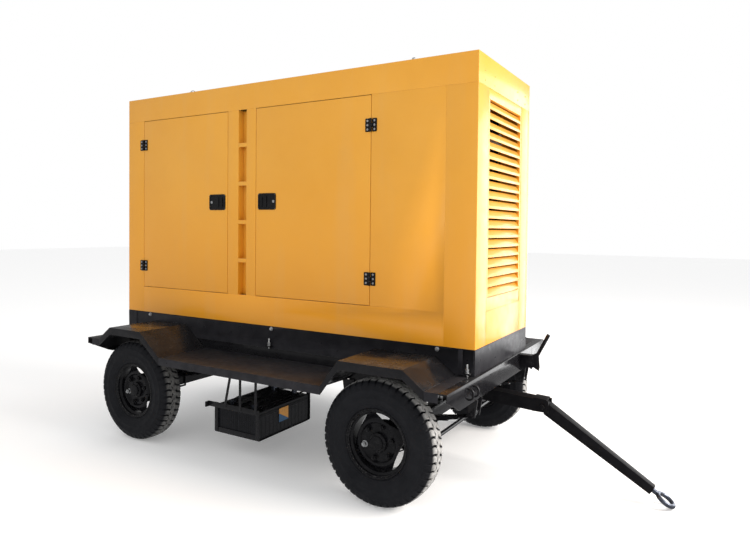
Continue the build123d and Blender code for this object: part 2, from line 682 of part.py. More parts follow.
def generator_base():
    """The skid: two side channels, two end plates and the floor sheet that the set stands on."""
    end_x, w = CANOPY_HALF_L, CANOPY_HALF_W
    z0, z1 = BASE_Z, CANOPY_Z
    solids = [block(x, x + STIFFENER_W, side * w, side * (w + 4), z0 + 2, z1 - 6)
              for side in (-1, 1) for x in STIFFENER_X]
    web, lip = w - 8, w - 70
    section = [(w, z0), (w, z1 - 4), (lip, z1 - 4), (lip, z1 - 14), (web, z1 - 14), (web, z0 + 10),
               (lip, z0 + 10), (lip, z0)]
    for side in (-1, 1):
        solids.append(prism_x([(side * y, z) for y, z in section], -end_x + 8, end_x - 8))
    ends = [block(end_x - 8, end_x, -w, w, z0, z1 - 4), block(-end_x, -end_x + 8, -w, w, z0, z1 - 4)]
    filler_hole = rod((FILLER_X, FILLER_Y, z0), (FILLER_X, FILLER_Y, z1 + 1), FILLER_R)
    floor = carve(block(-end_x, end_x, -w, w, z1 - 4, z1), filler_hole)
    ribs = []
    for side in (-1, 1):
        for x in (-1560, 1560):
            ribs.append(block(x - 4, x + 4, side * (w - 8), side * (w - 68), z0 + 10, z1 - 14))
    return solids + ends + [floor] + ribs


def fuel_tank():
    """A flat tank between the skid's side channels, with a filler neck through the floor."""
    z0, z1 = BASE_Z + 14, CANOPY_Z - 10
    x, y = FILLER_X, FILLER_Y
    tank = block(-900, 700, -470, 470, z0, z1)
    room = block(-900 + SHEET, 700 - SHEET, -470 + SHEET, 470 - SHEET, z0 + SHEET, z1 - SHEET)
    neck = rod((x, y, z1), (x, y, FILLER_TOP), FILLER_R)
    bore = rod((x, y, z1 - 40), (x, y, FILLER_TOP + 1), FILLER_R - 6)
    return [carve(tank, room, bore), carve(neck, bore)]


def fuel_cap():
    """A quarter-turn cap over the filler neck, with a grip bar."""
    x, y, top = FILLER_X, FILLER_Y, FILLER_TOP
    skirt = rod((x, y, top - 20), (x, y, top + 10), FILLER_R + 7)
    skirt = carve(skirt, rod((x, y, top - 21), (x, y, top + 0.5), FILLER_R + 0.4))
    bar = block(x - 30, x + 30, y - 5, y + 5, top + 10, top + 20)
    return [join(skirt, bar)]


def base_bolts():
    """Hex bolts that hold the canopy to the skid and the skid to the chassis."""
    w = CANOPY_HALF_W
    solids = []
    for side in (-1, 1):
        for x in (-1392, 7, 1421):
            solids.append(hexagon((x, side * w, 936), (0, side, 0), 24, 12))
        for x in (0, 1641):
            solids.append(hexagon((x, side * w, 812), (0, side, 0), 27, 14))
            solids.append(rod((x, side * (w + 14), 812), (x, side * (w + 26), 812), 8))
    return solids


def canopy_roof():
    """A folded roof tray whose skirt is the canopy's top band."""
    end_x, w = CANOPY_HALF_L, CANOPY_HALF_W
    tray = block(-end_x, end_x, -w, w, DOOR_Z1, ROOF_Z)
    hollow = block(-end_x + SHEET, end_x - SHEET, -w + SHEET, w - SHEET, DOOR_Z1 - 1, ROOF_Z - SHEET)
    return [carve(tray, hollow)]


def corner_post(end, x_side, y_end):
    """A folded corner post: one face on the side, one on the end, both with returns."""
    end_x, w = CANOPY_HALF_L, CANOPY_HALF_W
    t, back = SHEET, 34
    path = [(x_side, w), (end_x, w), (end_x, y_end), (end_x - back, y_end), (end_x - back, y_end + t),
            (end_x - t, y_end + t), (end_x - t, w - t), (x_side + t, w - t), (x_side + t, w - back),
            (x_side, w - back)]
    return prism_z([(end * x, -y) for x, y in path], CANOPY_Z, DOOR_Z1)


def centre_post():
    """The post between the doors, with the deep upright recess of the climbing steps."""
    t, w = SHEET, CANOPY_HALF_W
    x0, x3 = REAR_DOOR[1] + DOOR_GAP, FRONT_DOOR[0] - DOOR_GAP
    x1, x2 = RECESS
    path = [(x0, w), (x1, w), (x1, w - RECESS_DEPTH), (x2, w - RECESS_DEPTH), (x2, w), (x3, w),
            (x3, w - 34), (x3 - t, w - 34), (x3 - t, w - t), (x2 + t, w - t), (x2 + t, w - RECESS_DEPTH - t),
            (x1 - t, w - RECESS_DEPTH - t), (x1 - t, w - t), (x0 + t, w - t), (x0 + t, w - 34), (x0, w - 34)]
    return prism_z([(x, -y) for x, y in path], DOOR_Z0, DOOR_Z1)


def canopy_posts():
    front = corner_post(1, FIXED_PANEL[1], END_PANEL_HALF_W)
    rear = corner_post(-1, -(REAR_DOOR[0] - DOOR_GAP), END_PANEL_HALF_W)
    return both_sides([front, rear, centre_post()])


def step_rungs():
    w = CANOPY_HALF_W
    rungs = []
    for z in RUNG_Z:
        bar = block(RECESS[0], RECESS[1], -w, -w + 12, z - 16, z + 16)
        lip = block(RECESS[0], RECESS[1], -w + 12, -w + 40, z + 10, z + 16)
        rungs.append(join(bar, lip))
    return both_sides(rungs)


def pan(x0, x1, z0, z1, w=CANOPY_HALF_W):
    """A folded sheet pan on the right side, open inwards."""
    body = block(x0, x1, -w, -w + PAN_DEPTH, z0, z1)
    hollow = block(x0 + SHEET, x1 - SHEET, -w + SHEET, -w + PAN_DEPTH + 1, z0 + SHEET, z1 - SHEET)
    return carve(body, hollow)


def side_panels():
    """Fixed side panels, and the bottom band under the doors."""
    panel = pan(FIXED_PANEL[0], FIXED_PANEL[1], DOOR_Z0, DOOR_Z1)
    band = pan(REAR_DOOR[0] - DOOR_GAP, FIXED_PANEL[1], CANOPY_Z, DOOR_Z0)
    return both_sides([panel, band])


def end_panel(end):
    """An end wall: bottom band and a framed insert with the louvre opening."""
    end_x, hw = CANOPY_HALF_L, END_PANEL_HALF_W
    band = block(end * end_x, end * (end_x - 30), -hw, hw, CANOPY_Z, DOOR_Z0)
    insert = block(end * (end_x - 2), end * (end_x - 30), -hw + 1, hw - 1, DOOR_Z0, DOOR_Z1)
    opening = block(end * (end_x + 1), end * (end_x - 40), -LOUVRE_HALF_W, LOUVRE_HALF_W, *LOUVRE_Z)
    return [band, carve(insert, opening)]


def louvre_slats():
    """Sloping slats across both end openings, each with a turned-down outer lip."""
    z0, z1 = LOUVRE_Z
    pitch = (z1 - z0) / SLAT_COUNT
    end_x = CANOPY_HALF_L
    slats = []
    for i in range(SLAT_COUNT):
        low = z0 + i * pitch + 3
        outline = [(end_x - 3, low), (end_x - 3, low + 18), (end_x - 29, low + pitch - 10),
                   (end_x - 29, low + pitch - 13), (end_x - 6, low + 16), (end_x - 6, low)]
        slats.append(prism_y(outline, -LOUVRE_HALF_W, LOUVRE_HALF_W))
    return both_ends(slats)


def lifting_eyes():
    """Four ring eye bolts on the roof."""
    eyes = []
    for x in (-LIFT_X, LIFT_X):
        collar = rod((x, -LIFT_Y, ROOF_Z), (x, -LIFT_Y, ROOF_Z + 12), 26)
        ring_plane = Plane(origin=(x, -LIFT_Y, ROOF_Z + LIFT_UP), z_dir=(1, 0, 0))
        ring = Solid.make_torus(LIFT_MAJOR, LIFT_BAR_R, ring_plane)
        neck = rod((x, -LIFT_Y, ROOF_Z + 10), (x, -LIFT_Y, ROOF_Z + 24), 13)
        hole = rod((x - 30, -LIFT_Y, ROOF_Z + LIFT_UP), (x + 30, -LIFT_Y, ROOF_Z + LIFT_UP), LIFT_HOLE_R)
        eyes.append(carve(join(collar, neck, ring), hole))
    return both_sides(eyes)


# ------------------------------------------------------------------ doors

def hinge_axis(door):
    """X of the pin axis, and the way the door lies from it (+1 or -1)."""
    if door == "rear":
        return REAR_DOOR[0] - DOOR_GAP / 2, 1
    return FRONT_DOOR[1] + DOOR_GAP / 2, -1


def hinge_half(door, z, way, knuckles, bored):
    """One hinge leaf on the right side: way is the side of the axis that it lies on."""
    axis_x, _ = hinge_axis(door)
    y_face = -CANOPY_HALF_W
    y_pin = y_face - HINGE_AXIS_OUT
    z0, z1 = z - HINGE_H / 2, z + HINGE_H / 2
    parts = [block(axis_x + way * 9, axis_x + way * (9 + HINGE_LEAF), y_face - 4, y_face, z0, z1)]
    for a, b in knuckles:
        parts.append(block(axis_x, axis_x + way * 10, y_face - 4, y_face - 1, z0 + a, z0 + b))
        parts.append(rod((axis_x, y_pin, z0 + a), (axis_x, y_pin, z0 + b), HINGE_BARREL_R))
    half = join(*parts)
    radius = HINGE_PIN_R + (RUNNING if bored else 0)
    return carve(half, rod((axis_x, y_pin, z0 - 5), (axis_x, y_pin, z1 + 5), radius))


def hinge_fixed(door, z):
    """The fixed leaf, with the middle knuckle, and the pin."""
    axis_x, way = hinge_axis(door)
    third = HINGE_H / 3
    leaf_solid = hinge_half(door, z, -way, [(third + 0.5, 2 * third - 0.5)], False)
    y_pin = -CANOPY_HALF_W - HINGE_AXIS_OUT
    pin = rod((axis_x, y_pin, z - HINGE_H / 2), (axis_x, y_pin, z + HINGE_H / 2), HINGE_PIN_R)
    return [leaf_solid, pin]


def door_hinges():
    solids = []
    for door in ("rear", "front"):
        for z in HINGE_Z:
            solids += hinge_fixed(door, z)
    return both_sides(solids)


def latch_centre(door):
    """X of the latch's centre."""
    offset = LATCH_EDGE + LATCH_W / 2
    return REAR_DOOR[1] - offset if door == "rear" else FRONT_DOOR[0] + offset


def latch_housing(door):
    """A round-cornered dish set into the door skin."""
    x, w = latch_centre(door), CANOPY_HALF_W
    half_w, half_h = LATCH_W / 2, LATCH_H / 2
    outline = RectangleRounded(LATCH_W, LATCH_H, 16)
    face = Plane(origin=(x, -w - 3, LATCH_Z), z_dir=(0, 1, 0), x_dir=(1, 0, 0))
    flange = extrude(face * outline, 3).solid()
    dish = block(x - half_w + 16, x + half_w - 16, -w, -w + LATCH_DEEP,
                 LATCH_Z - half_h + 14, LATCH_Z + half_h - 14)
    hollow = block(x - half_w + 19, x + half_w - 19, -w - 4, -w + LATCH_DEEP - 3,
                   LATCH_Z - half_h + 17, LATCH_Z + half_h - 17)
    return carve(join(flange, dish), hollow)


def paddle_x(door):
    """X range of the paddle, which is hinged on the side near the door's free edge."""
    x = latch_centre(door)
    way = 1 if door == "rear" else -1
    return x + way * 62, x + way * (62 - PADDLE_W)


def paddle_pin(name, radius):
    """The upright pin that the paddle turns on, between the dish's floor and roof."""
    x_pin, _ = paddle_x(name)
    y, half = -CANOPY_HALF_W + 6, LATCH_H / 2 - 17
    return rod((x_pin, y, LATCH_Z - half), (x_pin, y, LATCH_Z + half), radius)


def door(name, side):
    """One door: pan, two hinge leaves, the latch housing and the paddle's pin."""
    x0, x1 = REAR_DOOR if name == "rear" else FRONT_DOOR
    skin = pan(x0, x1, DOOR_Z0 + DOOR_GAP, DOOR_Z1 - DOOR_GAP)
    x, w = latch_centre(name), CANOPY_HALF_W
    half_w, half_h = LATCH_W / 2 - 16, LATCH_H / 2 - 14
    gap = LATCH_GAP
    skin = carve(skin, block(x - half_w - gap, x + half_w + gap, -w - 1, -w + SHEET + 1,
                             LATCH_Z - half_h - gap, LATCH_Z + half_h + gap))
    _, way = hinge_axis(name)
    third = HINGE_H / 3
    leaves = [hinge_half(name, z, way, [(0, third - 0.5), (2 * third + 0.5, HINGE_H)], True) for z in HINGE_Z]
    solids = [skin, latch_housing(name), paddle_pin(name, PADDLE_PIN_R)] + leaves
    return solids if side < 0 else [solid.mirror(Plane.XZ) for solid in solids]


def latch_paddle(name, side):
    """The pull paddle in the latch dish, curved by a finger scoop, on a short upright pin."""
    x_pin, x_free = paddle_x(name)
    w = CANOPY_HALF_W
    y0, y1 = -w - 1.5, -w + 6
    plate = block(x_pin, x_free, y0, y1, LATCH_Z - PADDLE_H / 2, LATCH_Z + PADDLE_H / 2)
    scoop = rod((x_free, y0 + 1, LATCH_Z - 60), (x_free, y0 + 1, LATCH_Z + 60), 5)
    barrel = rod((x_pin, y1, LATCH_Z - PADDLE_H / 2), (x_pin, y1, LATCH_Z + PADDLE_H / 2), 5)
    paddle = carve(join(carve(plate, scoop), barrel), paddle_pin(name, PADDLE_PIN_R + RUNNING))
    return [paddle if side < 0 else paddle.mirror(Plane.XZ)]


# ------------------------------------------------------------------ generating set

def cylinder_x(x0, x1, y, z, radius):
    return rod((x0, y, z), (x1, y, z), radius)


def engine_block():
    """A six-cylinder engine: crankcase, sump, head, rocker covers, manifolds, turbo, filters and feet."""
    x0, x1 = ENGINE_X
    case = block(x0, x1, -190, 190, SHAFT_Z - 110, SHAFT_Z + 330)
    case = carve(case, block(x0 + 30, x1 - 30, -150, 150, SHAFT_Z - 111, SHAFT_Z + 250))
    sump_outline = [(-170, SHAFT_Z - 110), (170, SHAFT_Z - 110), (120, SHAFT_Z - 290), (-120, SHAFT_Z - 290)]
    sump_room = [(-160, SHAFT_Z - 109), (160, SHAFT_Z - 109), (114, SHAFT_Z - 280), (-114, SHAFT_Z - 280)]
    sump = carve(prism_x(sump_outline, x0 + 60, x1 - 120), prism_x(sump_room, x0 + 70, x1 - 130))
    head = block(x0 + 20, x1 - 20, -150, 150, SHAFT_Z + 330, SHAFT_Z + 440)
    solids = [case, sump, head]
    span = (x1 - x0 - 40) / 6
    for i in range(6):
        x = x0 + 20 + span * i
        solids.append(block(x + 8, x + span - 8, -110, 110, SHAFT_Z + 440, SHAFT_Z + 510))
        solids.append(rod((x + span / 2, 150, SHAFT_Z + 385), (x + span / 2, 200, SHAFT_Z + 385), 24))
    exhaust = cylinder_x(x0 + 30, x1 - 30, 232, SHAFT_Z + 385, 32)
    intake = block(x0 + 40, x1 - 40, -215, -150, SHAFT_Z + 345, SHAFT_Z + 425)
    turbo = cylinder_x(330, 430, 232, SHAFT_Z + 500, 78)
    riser = rod((380, 232, SHAFT_Z + 417), (380, 232, SHAFT_Z + 423), 30)
    bell = cylinder_x(ALTERNATOR_X[1] + 2, x0, 0, SHAFT_Z, 225)
    bell = carve(bell, cylinder_x(ALTERNATOR_X[1], x0 - 20, 0, SHAFT_Z, 180))
    solids += [exhaust, intake, turbo, riser, bell]
    for i in range(3):
        solids.append(rod((160 + i * 120, -246, SHAFT_Z - 60), (160 + i * 120, -246, SHAFT_Z + 110), 44))
        solids.append(block(130 + i * 120, 190 + i * 120, -246, -190, SHAFT_Z + 110, SHAFT_Z + 150))
    for x in (60, 700):
        for side in (-1, 1):
            solids.append(block(x - 40, x + 40, side * 190, side * 290, CANOPY_Z + 90, SHAFT_Z - 60))
            solids.append(block(x - 60, x + 60, side * 190, side * 330, CANOPY_Z, CANOPY_Z + 90))
    nose = cylinder_x(x1, x1 + 50, 0, SHAFT_Z, 95)
    fan_post = cylinder_x(x1, FAN_X - 40, 0, FAN_Z, 34)
    spindle = cylinder_x(FAN_X - 60, FAN_X + 20, 0, FAN_Z, FAN_SPINDLE_R)
    return solids + [nose, join(fan_post, spindle)]


def engine_fan():
    """The cooling fan: a hub with a pulley groove, a shaft boss and eight pitched blades."""
    hub_solid = cylinder_x(FAN_X - 38, FAN_X + 30, 0, FAN_Z, 70)
    blades = []
    for i in range(8):
        blade = block(-4, 4, -52, 52, 60, FAN_R)
        blade = Rot(0, 0, 28) * blade
        blades.append(Pos(FAN_X + 4, 0, FAN_Z) * (Rot(i * 45, 0, 0) * blade))
    fan = join(hub_solid, *[blade.solid() for blade in blades])
    return [carve(fan, cylinder_x(FAN_X - 39, FAN_X + 22, 0, FAN_Z, FAN_SPINDLE_R + RUNNING))]


def radiator():
    """Core, two tanks, side members, a cowl ring for the fan and the feet."""
    x0, x1 = RADIATOR_X
    core_wall = 14
    core = carve(block(x0 + 15, x1 - 15, -400, 400, 1130, 2030),
                 block(x0 + 15 + core_wall, x1 - 15 - core_wall, core_wall - 400, 400 - core_wall, 1145, 2015))
    solids = [core]
    for low, high in ((2030, 2150), (1030, 1130)):
        solids.append(carve(block(x0, x1, -430, 430, low, high),
                            block(x0 + 5, x1 - 5, -425, 425, low + 5, high - 5)))
    for side in (-1, 1):
        solids.append(block(x0, x1, side * 400, side * 430, 1130, 2030))
        solids.append(block(x0 - 20, x1 + 20, side * 330, side * 430, CANOPY_Z, 1030))
    cowl = carve(cylinder_x(FAN_X - 10, x0, 0, FAN_Z, FAN_R + 30),
                 cylinder_x(FAN_X - 60, x0 + 10, 0, FAN_Z, FAN_R + 16))
    filler = rod((1130, -300, 2150), (1130, -300, 2185), 34)
    return solids + [cowl, filler]


def alternator_frame():
    """The alternator's ribbed frame, rear end shield, terminal box and feet."""
    x0, x1 = ALTERNATOR_X
    frame = carve(cylinder_x(x0, x1, 0, SHAFT_Z, 262), cylinder_x(x0 + 20, x1 + 1, 0, SHAFT_Z, 205),
                  cylinder_x(x0 - 1, x0 + 21, 0, SHAFT_Z, 34 + RUNNING))
    ribs = []
    for i in range(12):
        if i in (3, 9):
            continue
        rib = Rot(i * 30, 0, 0) * block(x0 + 60, x1 - 60, -5, 5, 258, 276)
        ribs.append((Pos(0, 0, SHAFT_Z) * rib).solid())
    frame = join(frame, *ribs)
    box = carve(block(x0 + 180, x0 + 620, -200, 200, SHAFT_Z + 276, SHAFT_Z + 540),
                block(x0 + 186, x0 + 614, -194, 194, SHAFT_Z + 275, SHAFT_Z + 534))
    feet = []
    for side in (-1, 1):
        feet.append(carve(block(x0 + 80, x1 - 80, side * 170, side * 250, CANOPY_Z, SHAFT_Z - 120),
                          cylinder_x(x0, x1, 0, SHAFT_Z, 276.5)))
    return [frame, box] + feet


def alternator_rotor():
    """Shaft, wound core and a coupling disc that is bolted to the flywheel."""
    x0, x1 = ALTERNATOR_X
    shaft = cylinder_x(x0 - 30, x1 + 120, 0, SHAFT_Z, 34)
    core = cylinder_x(x0 + 130, x1 - 130, 0, SHAFT_Z, 150)
    disc = cylinder_x(x1 + 110, x1 + 150, 0, SHAFT_Z, 172)
    return [join(shaft, core, disc)]


def silencer():
    """The exhaust silencer over the engine, with its riser, tail pipe and hanger straps."""
    z, r = 2400, 130
    drum = cylinder_x(330, 1180, 232, z, r)
    riser = rod((380, 232, SHAFT_Z + 578), (380, 232, z), 38)
    tail = cylinder_x(1170, 1560, 232, z, 42)
    room = cylinder_x(334, 1176, 232, z, r - 4)
    body = carve(join(drum, riser, tail), room, cylinder_x(1170, 1561, 232, z, 38))
    straps = []
    for x in (480, 1020):
        ring = carve(cylinder_x(x, x + 40, 232, z, r + 5), cylinder_x(x - 1, x + 41, 232, z, r))
        stem = block(x, x + 40, 226, 238, z + r + 4, ROOF_Z - SHEET)
        straps.append(join(ring, stem))
    return [body] + straps


def control_panel():
    """The control cabinet behind the right rear door, on two legs, with its button's sleeve."""
    x0, x1 = -1400.0, -1060.0
    cabinet = block(x0, x1, -470, -310, 1560, 2020)
    room = block(x0 + 4, x1 - 4, -466, -314, 1564, 2016)
    stem_hole = rod((STOP_X, -440, STOP_Z), (STOP_X, -490, STOP_Z), STOP_R + RUNNING)
    sleeve = carve(rod((STOP_X, -470, STOP_Z), (STOP_X, -482, STOP_Z), 17), stem_hole)
    cabinet = carve(cabinet, room, stem_hole)
    legs = [block(x, x + 40, -430, -390, CANOPY_Z, 1560) for x in (x0 + 20, x1 - 60)]
    return [cabinet, sleeve] + legs


def emergency_stop():
    """A mushroom push button on a short stem."""
    stem = rod((STOP_X, -490, STOP_Z), (STOP_X, -452, STOP_Z), STOP_R)
    head = rod((STOP_X, -490, STOP_Z), (STOP_X, -508, STOP_Z), 20)
    return [join(stem, head)]


# ------------------------------------------------------------------ all nodes

WHEELS = {
    "front_right": (FRONT_AXLE_X, -1), "front_left": (FRONT_AXLE_X, 1),
    "rear_right": (REAR_AXLE_X, -1), "rear_left": (REAR_AXLE_X, 1),
}
SIDES = {"right": -1, "left": 1}

nodes = {
    "chassis_rails": chassis_rails(),
    "cross_members": cross_members(),
    "side_decks": side_decks(),
    "fenders": fenders(),
    "leaf_springs": leaf_springs(),
    "spring_fittings": spring_fittings(),
    "front_axle_beam": front_axle_beam(),
    "rear_axle_beam": rear_axle_beam(),
    "king_pins": [king_pin(-1), king_pin(1), drawbar_pin()],
    "generator_base": generator_base(),
    "fuel_tank": fuel_tank(),
    "fuel_cap": fuel_cap(),
    "base_bolts": base_bolts(),
    "canopy_roof": canopy_roof(),
    "canopy_posts": canopy_posts(),
    "step_rungs": step_rungs(),
    "side_panels": side_panels(),
    "front_end_panel": end_panel(1),
    "rear_end_panel": end_panel(-1),
    "louvre_slats": louvre_slats(),
    "lifting_eyes": lifting_eyes(),
    "door_hinges": door_hinges(),
    "engine_block": engine_block(),
    "engine_fan": engine_fan(),
    "radiator": radiator(),
    "alternator_frame": alternator_frame(),
    "alternator_rotor": alternator_rotor(),
    "silencer": silencer(),
    "control_panel": control_panel(),
    "emergency_stop": emergency_stop(),
    "battery_cradle": battery_cradle(),
    "batteries": batteries(),
    "handbrake_bracket": handbrake_bracket(),
    "handbrake_lever": handbrake_lever(),
    "drawbar_arm": drawbar_arm(),
    "drawbar_pole": drawbar_pole(),
    "tow_eye": tow_eye(),
    "tie_rod": tie_rod(),
}
for place, side in SIDES.items():
    nodes[f"knuckle_{place}"] = knuckle(side)
    for name in ("rear", "front"):
        nodes[f"door_{name}_{place}"] = door(name, side)
        nodes[f"paddle_{name}_{place}"] = latch_paddle(name, side)
for place, (axle_x, side) in WHEELS.items():
    nodes[f"tyre_{place}"] = tyre(axle_x, side)
    nodes[f"rim_{place}"] = rim(axle_x, side)
    nodes[f"hub_{place}"] = hub(axle_x, side)

os.makedirs("parts", exist_ok=True)
for name, solids in nodes.items():
    placed = [solid.moved(Location((-X_ORIGIN, 0, -GROUND_Z))) for solid in solids]
    export_step(Compound(children=placed), f"parts/{name}.step")
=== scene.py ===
import bmesh
import bpy
import json
import math
from mathutils import Matrix, Vector


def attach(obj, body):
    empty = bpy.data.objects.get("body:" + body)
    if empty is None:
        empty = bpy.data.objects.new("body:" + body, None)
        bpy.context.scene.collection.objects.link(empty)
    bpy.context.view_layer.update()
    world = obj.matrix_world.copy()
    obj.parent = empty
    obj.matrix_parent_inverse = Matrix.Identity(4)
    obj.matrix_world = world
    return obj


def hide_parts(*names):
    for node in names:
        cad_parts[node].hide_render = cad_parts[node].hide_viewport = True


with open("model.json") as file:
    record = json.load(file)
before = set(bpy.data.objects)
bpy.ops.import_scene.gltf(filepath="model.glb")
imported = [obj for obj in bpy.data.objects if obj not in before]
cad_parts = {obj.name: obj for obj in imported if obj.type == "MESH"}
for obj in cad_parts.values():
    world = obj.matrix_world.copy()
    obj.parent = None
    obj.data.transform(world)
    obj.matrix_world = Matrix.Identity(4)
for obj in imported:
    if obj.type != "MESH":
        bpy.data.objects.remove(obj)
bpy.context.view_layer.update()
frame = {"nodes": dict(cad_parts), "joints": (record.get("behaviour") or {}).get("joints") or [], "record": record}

JOINTS = {joint["name"]: joint for joint in frame["joints"]}
BODY_OF = {node: body for body, nodes in frame["record"]["behaviour"]["bodies"].items() for node in nodes}
SLOT_OF = {part["node"]: part["material_slot"] for part in frame["record"]["subparts"]}
WHEELS = ("front_right", "front_left", "rear_right", "rear_left")
SIDES = {"right": -1, "left": 1}
MM = 0.001
TURN = 2 * math.pi

# Sizes and places in the drawing, in millimetres.
X_ORIGIN = 565.805  # the drawing's X at the frame's origin
GROUND_Z = -12.0
CANOPY_HALF_L = 1685
CANOPY_HALF_W = 549
BASE_Z = 783
# each door's two edges, its hinge pin, and 1 where it lies ahead of the pin or -1 where it lies behind
DOORS = {"rear": (-1476, -462, -1478, 1), "front": (-157, 894, 896, -1)}
DOOR_Z = (1184, 2652)
DOOR_DEPTH = 38
DOOR_SHEET = 3
DOOR_FOAM_IN = 30  # from the door's edges to its foam
DOOR_SEAL_IN = 10
HINGES_Z = (1370, 2443)
HINGE_REACH = 46.5  # half a hinge's height
LATCH_X = {"rear": -574, "front": -45}
LATCH_Z = 1924
DISH_HALF_W, DISH_HALF_H = 74.5, 50.5  # the latch dish's hole in the door
LOCK_AWAY = 64  # from the dish's middle to the lock
CAP_BOLTS_X = (-1392, 7, 1421)
CAP_BOLT_Z = 936
STUDS_X = (0, 1641)
STUD_OUT = 17  # from the base's side to a hold-down stud
STUD_LUG_Z = (800, 808)
CRADLE_X = (-350, 100)
CRADLE_Y = (-785, -170)
BATTERY_FLOOR = 145
BATTERY_W = 214
BATTERY_H = 184
LID_TOP = 206  # above the battery's floor
POST_X = 107  # from the battery's side to its posts
POST_IN = 60  # from the battery's ends to its posts
PANEL_Y = -470  # the control cabinet's face
METER_Z = 1950
STOP_Z = 1650
SHAFT_Z = 1390
HEAD_Z = SHAFT_Z + 440
ENGINE_X = (-60, 860)
CYLINDERS = 6
FAN_X = 985
FAN_Z = 1560
# the belt's wheels: Y, Z, radius, and the turns between which the belt lies on them
BELT_WHEELS = ((0, SHAFT_Z, 82, -150, 0), (0, FAN_Z, 60, 0, 100), (-210, 1530, 40, 100, 210))
BELT_DEPTH = 4


def joint_at(name):
    return Vector(JOINTS[name]["pos_m"])


def pt(x, y, z):
    """A point of the drawing, in millimetres, as a point of the frame."""
    return Vector(((x - X_ORIGIN) * MM, y * MM, (z - GROUND_Z) * MM))


# -------------------- material nodes

class Nodes:
    """A short way to write one material's node tree."""

    def __init__(self, name):
        self.material = bpy.data.materials.new(name)
        self.material.use_nodes = True
        self.tree = self.material.node_tree
        self.shader = self.tree.nodes["Principled BSDF"]
        self.coords = self.add("ShaderNodeTexCoord").outputs["Object"]

    def add(self, kind, **settings):
        node = self.tree.nodes.new(kind)
        for key, value in settings.items():
            setattr(node, key, value)
        return node

    def feed(self, value, socket):
        if isinstance(value, bpy.types.NodeSocket):
            self.tree.links.new(value, socket)
        else:
            socket.default_value = value

    def stretched(self, scale):
        mapping = self.add("ShaderNodeMapping")
        mapping.inputs["Scale"].default_value = scale
        self.feed(self.coords, mapping.inputs["Vector"])
        return mapping.outputs["Vector"]

    def noise(self, scale, detail=3.0, rough=0.55, stretch=None):
        node = self.add("ShaderNodeTexNoise")
        self.feed(self.stretched(stretch) if stretch else self.coords, node.inputs["Vector"])
        node.inputs["Scale"].default_value = scale
        node.inputs["Detail"].default_value = detail
        node.inputs["Roughness"].default_value = rough
        return node.outputs["Fac"]

    def remap(self, value, low, high, to_low=0.0, to_high=1.0):
        node = self.add("ShaderNodeMapRange")
        self.feed(value, node.inputs["Value"])
        for socket, number in zip(("From Min", "From Max", "To Min", "To Max"), (low, high, to_low, to_high)):
            node.inputs[socket].default_value = number
        return node.outputs["Result"]

    def math(self, operation, a, b=0.0):
        node = self.add("ShaderNodeMath", operation=operation)
        self.feed(a, node.inputs[0])
        self.feed(b, node.inputs[1])
        return node.outputs[0]

    def mix(self, factor, a, b):
        node = self.add("ShaderNodeMix", data_type="RGBA")
        self.feed(factor, node.inputs["Factor"])
        for value, socket in ((a, node.inputs[6]), (b, node.inputs[7])):
            self.feed(value if isinstance(value, bpy.types.NodeSocket) else (*value, 1.0), socket)
        return node.outputs[2]

    def split(self, vector):
        node = self.add("ShaderNodeSeparateXYZ")
        self.feed(vector, node.inputs[0])
        return node.outputs

    def upward(self, low=0.35, high=0.95):
        """0 on walls and undersides, 1 on level tops."""
        return self.remap(self.split(self.add("ShaderNodeNewGeometry").outputs["Normal"])[2], low, high)

    def edges(self, radius):
        """1 along sharp edges, 0 on flat faces."""
        bevel = self.add("ShaderNodeBevel", samples=4)
        bevel.inputs["Radius"].default_value = radius
        dot = self.add("ShaderNodeVectorMath", operation="DOT_PRODUCT")
        self.feed(bevel.outputs[0], dot.inputs[0])
        self.feed(self.add("ShaderNodeNewGeometry").outputs["Normal"], dot.inputs[1])
        return self.remap(dot.outputs["Value"], 0.985, 0.86)

    def bump(self, height, strength, distance, under=None):
        node = self.add("ShaderNodeBump")
        node.inputs["Strength"].default_value = strength
        node.inputs["Distance"].default_value = distance
        self.feed(height, node.inputs["Height"])
        if under is not None:
            self.feed(under, node.inputs["Normal"])
        return node.outputs["Normal"]

    def done(self, color, rough, normal=None, metal=0.0, coat=0.0, coat_rough=0.1, specular=0.5):
        if not isinstance(color, bpy.types.NodeSocket):
            color = (*color, 1.0)
        self.feed(color, self.shader.inputs["Base Color"])
        self.feed(rough, self.shader.inputs["Roughness"])
        self.shader.inputs["Metallic"].default_value = metal
        self.shader.inputs["Coat Weight"].default_value = coat
        self.shader.inputs["Coat Roughness"].default_value = coat_rough
        self.shader.inputs["Specular IOR Level"].default_value = specular
        if normal is not None:
            self.feed(normal, self.shader.inputs["Normal"])
        return self.material


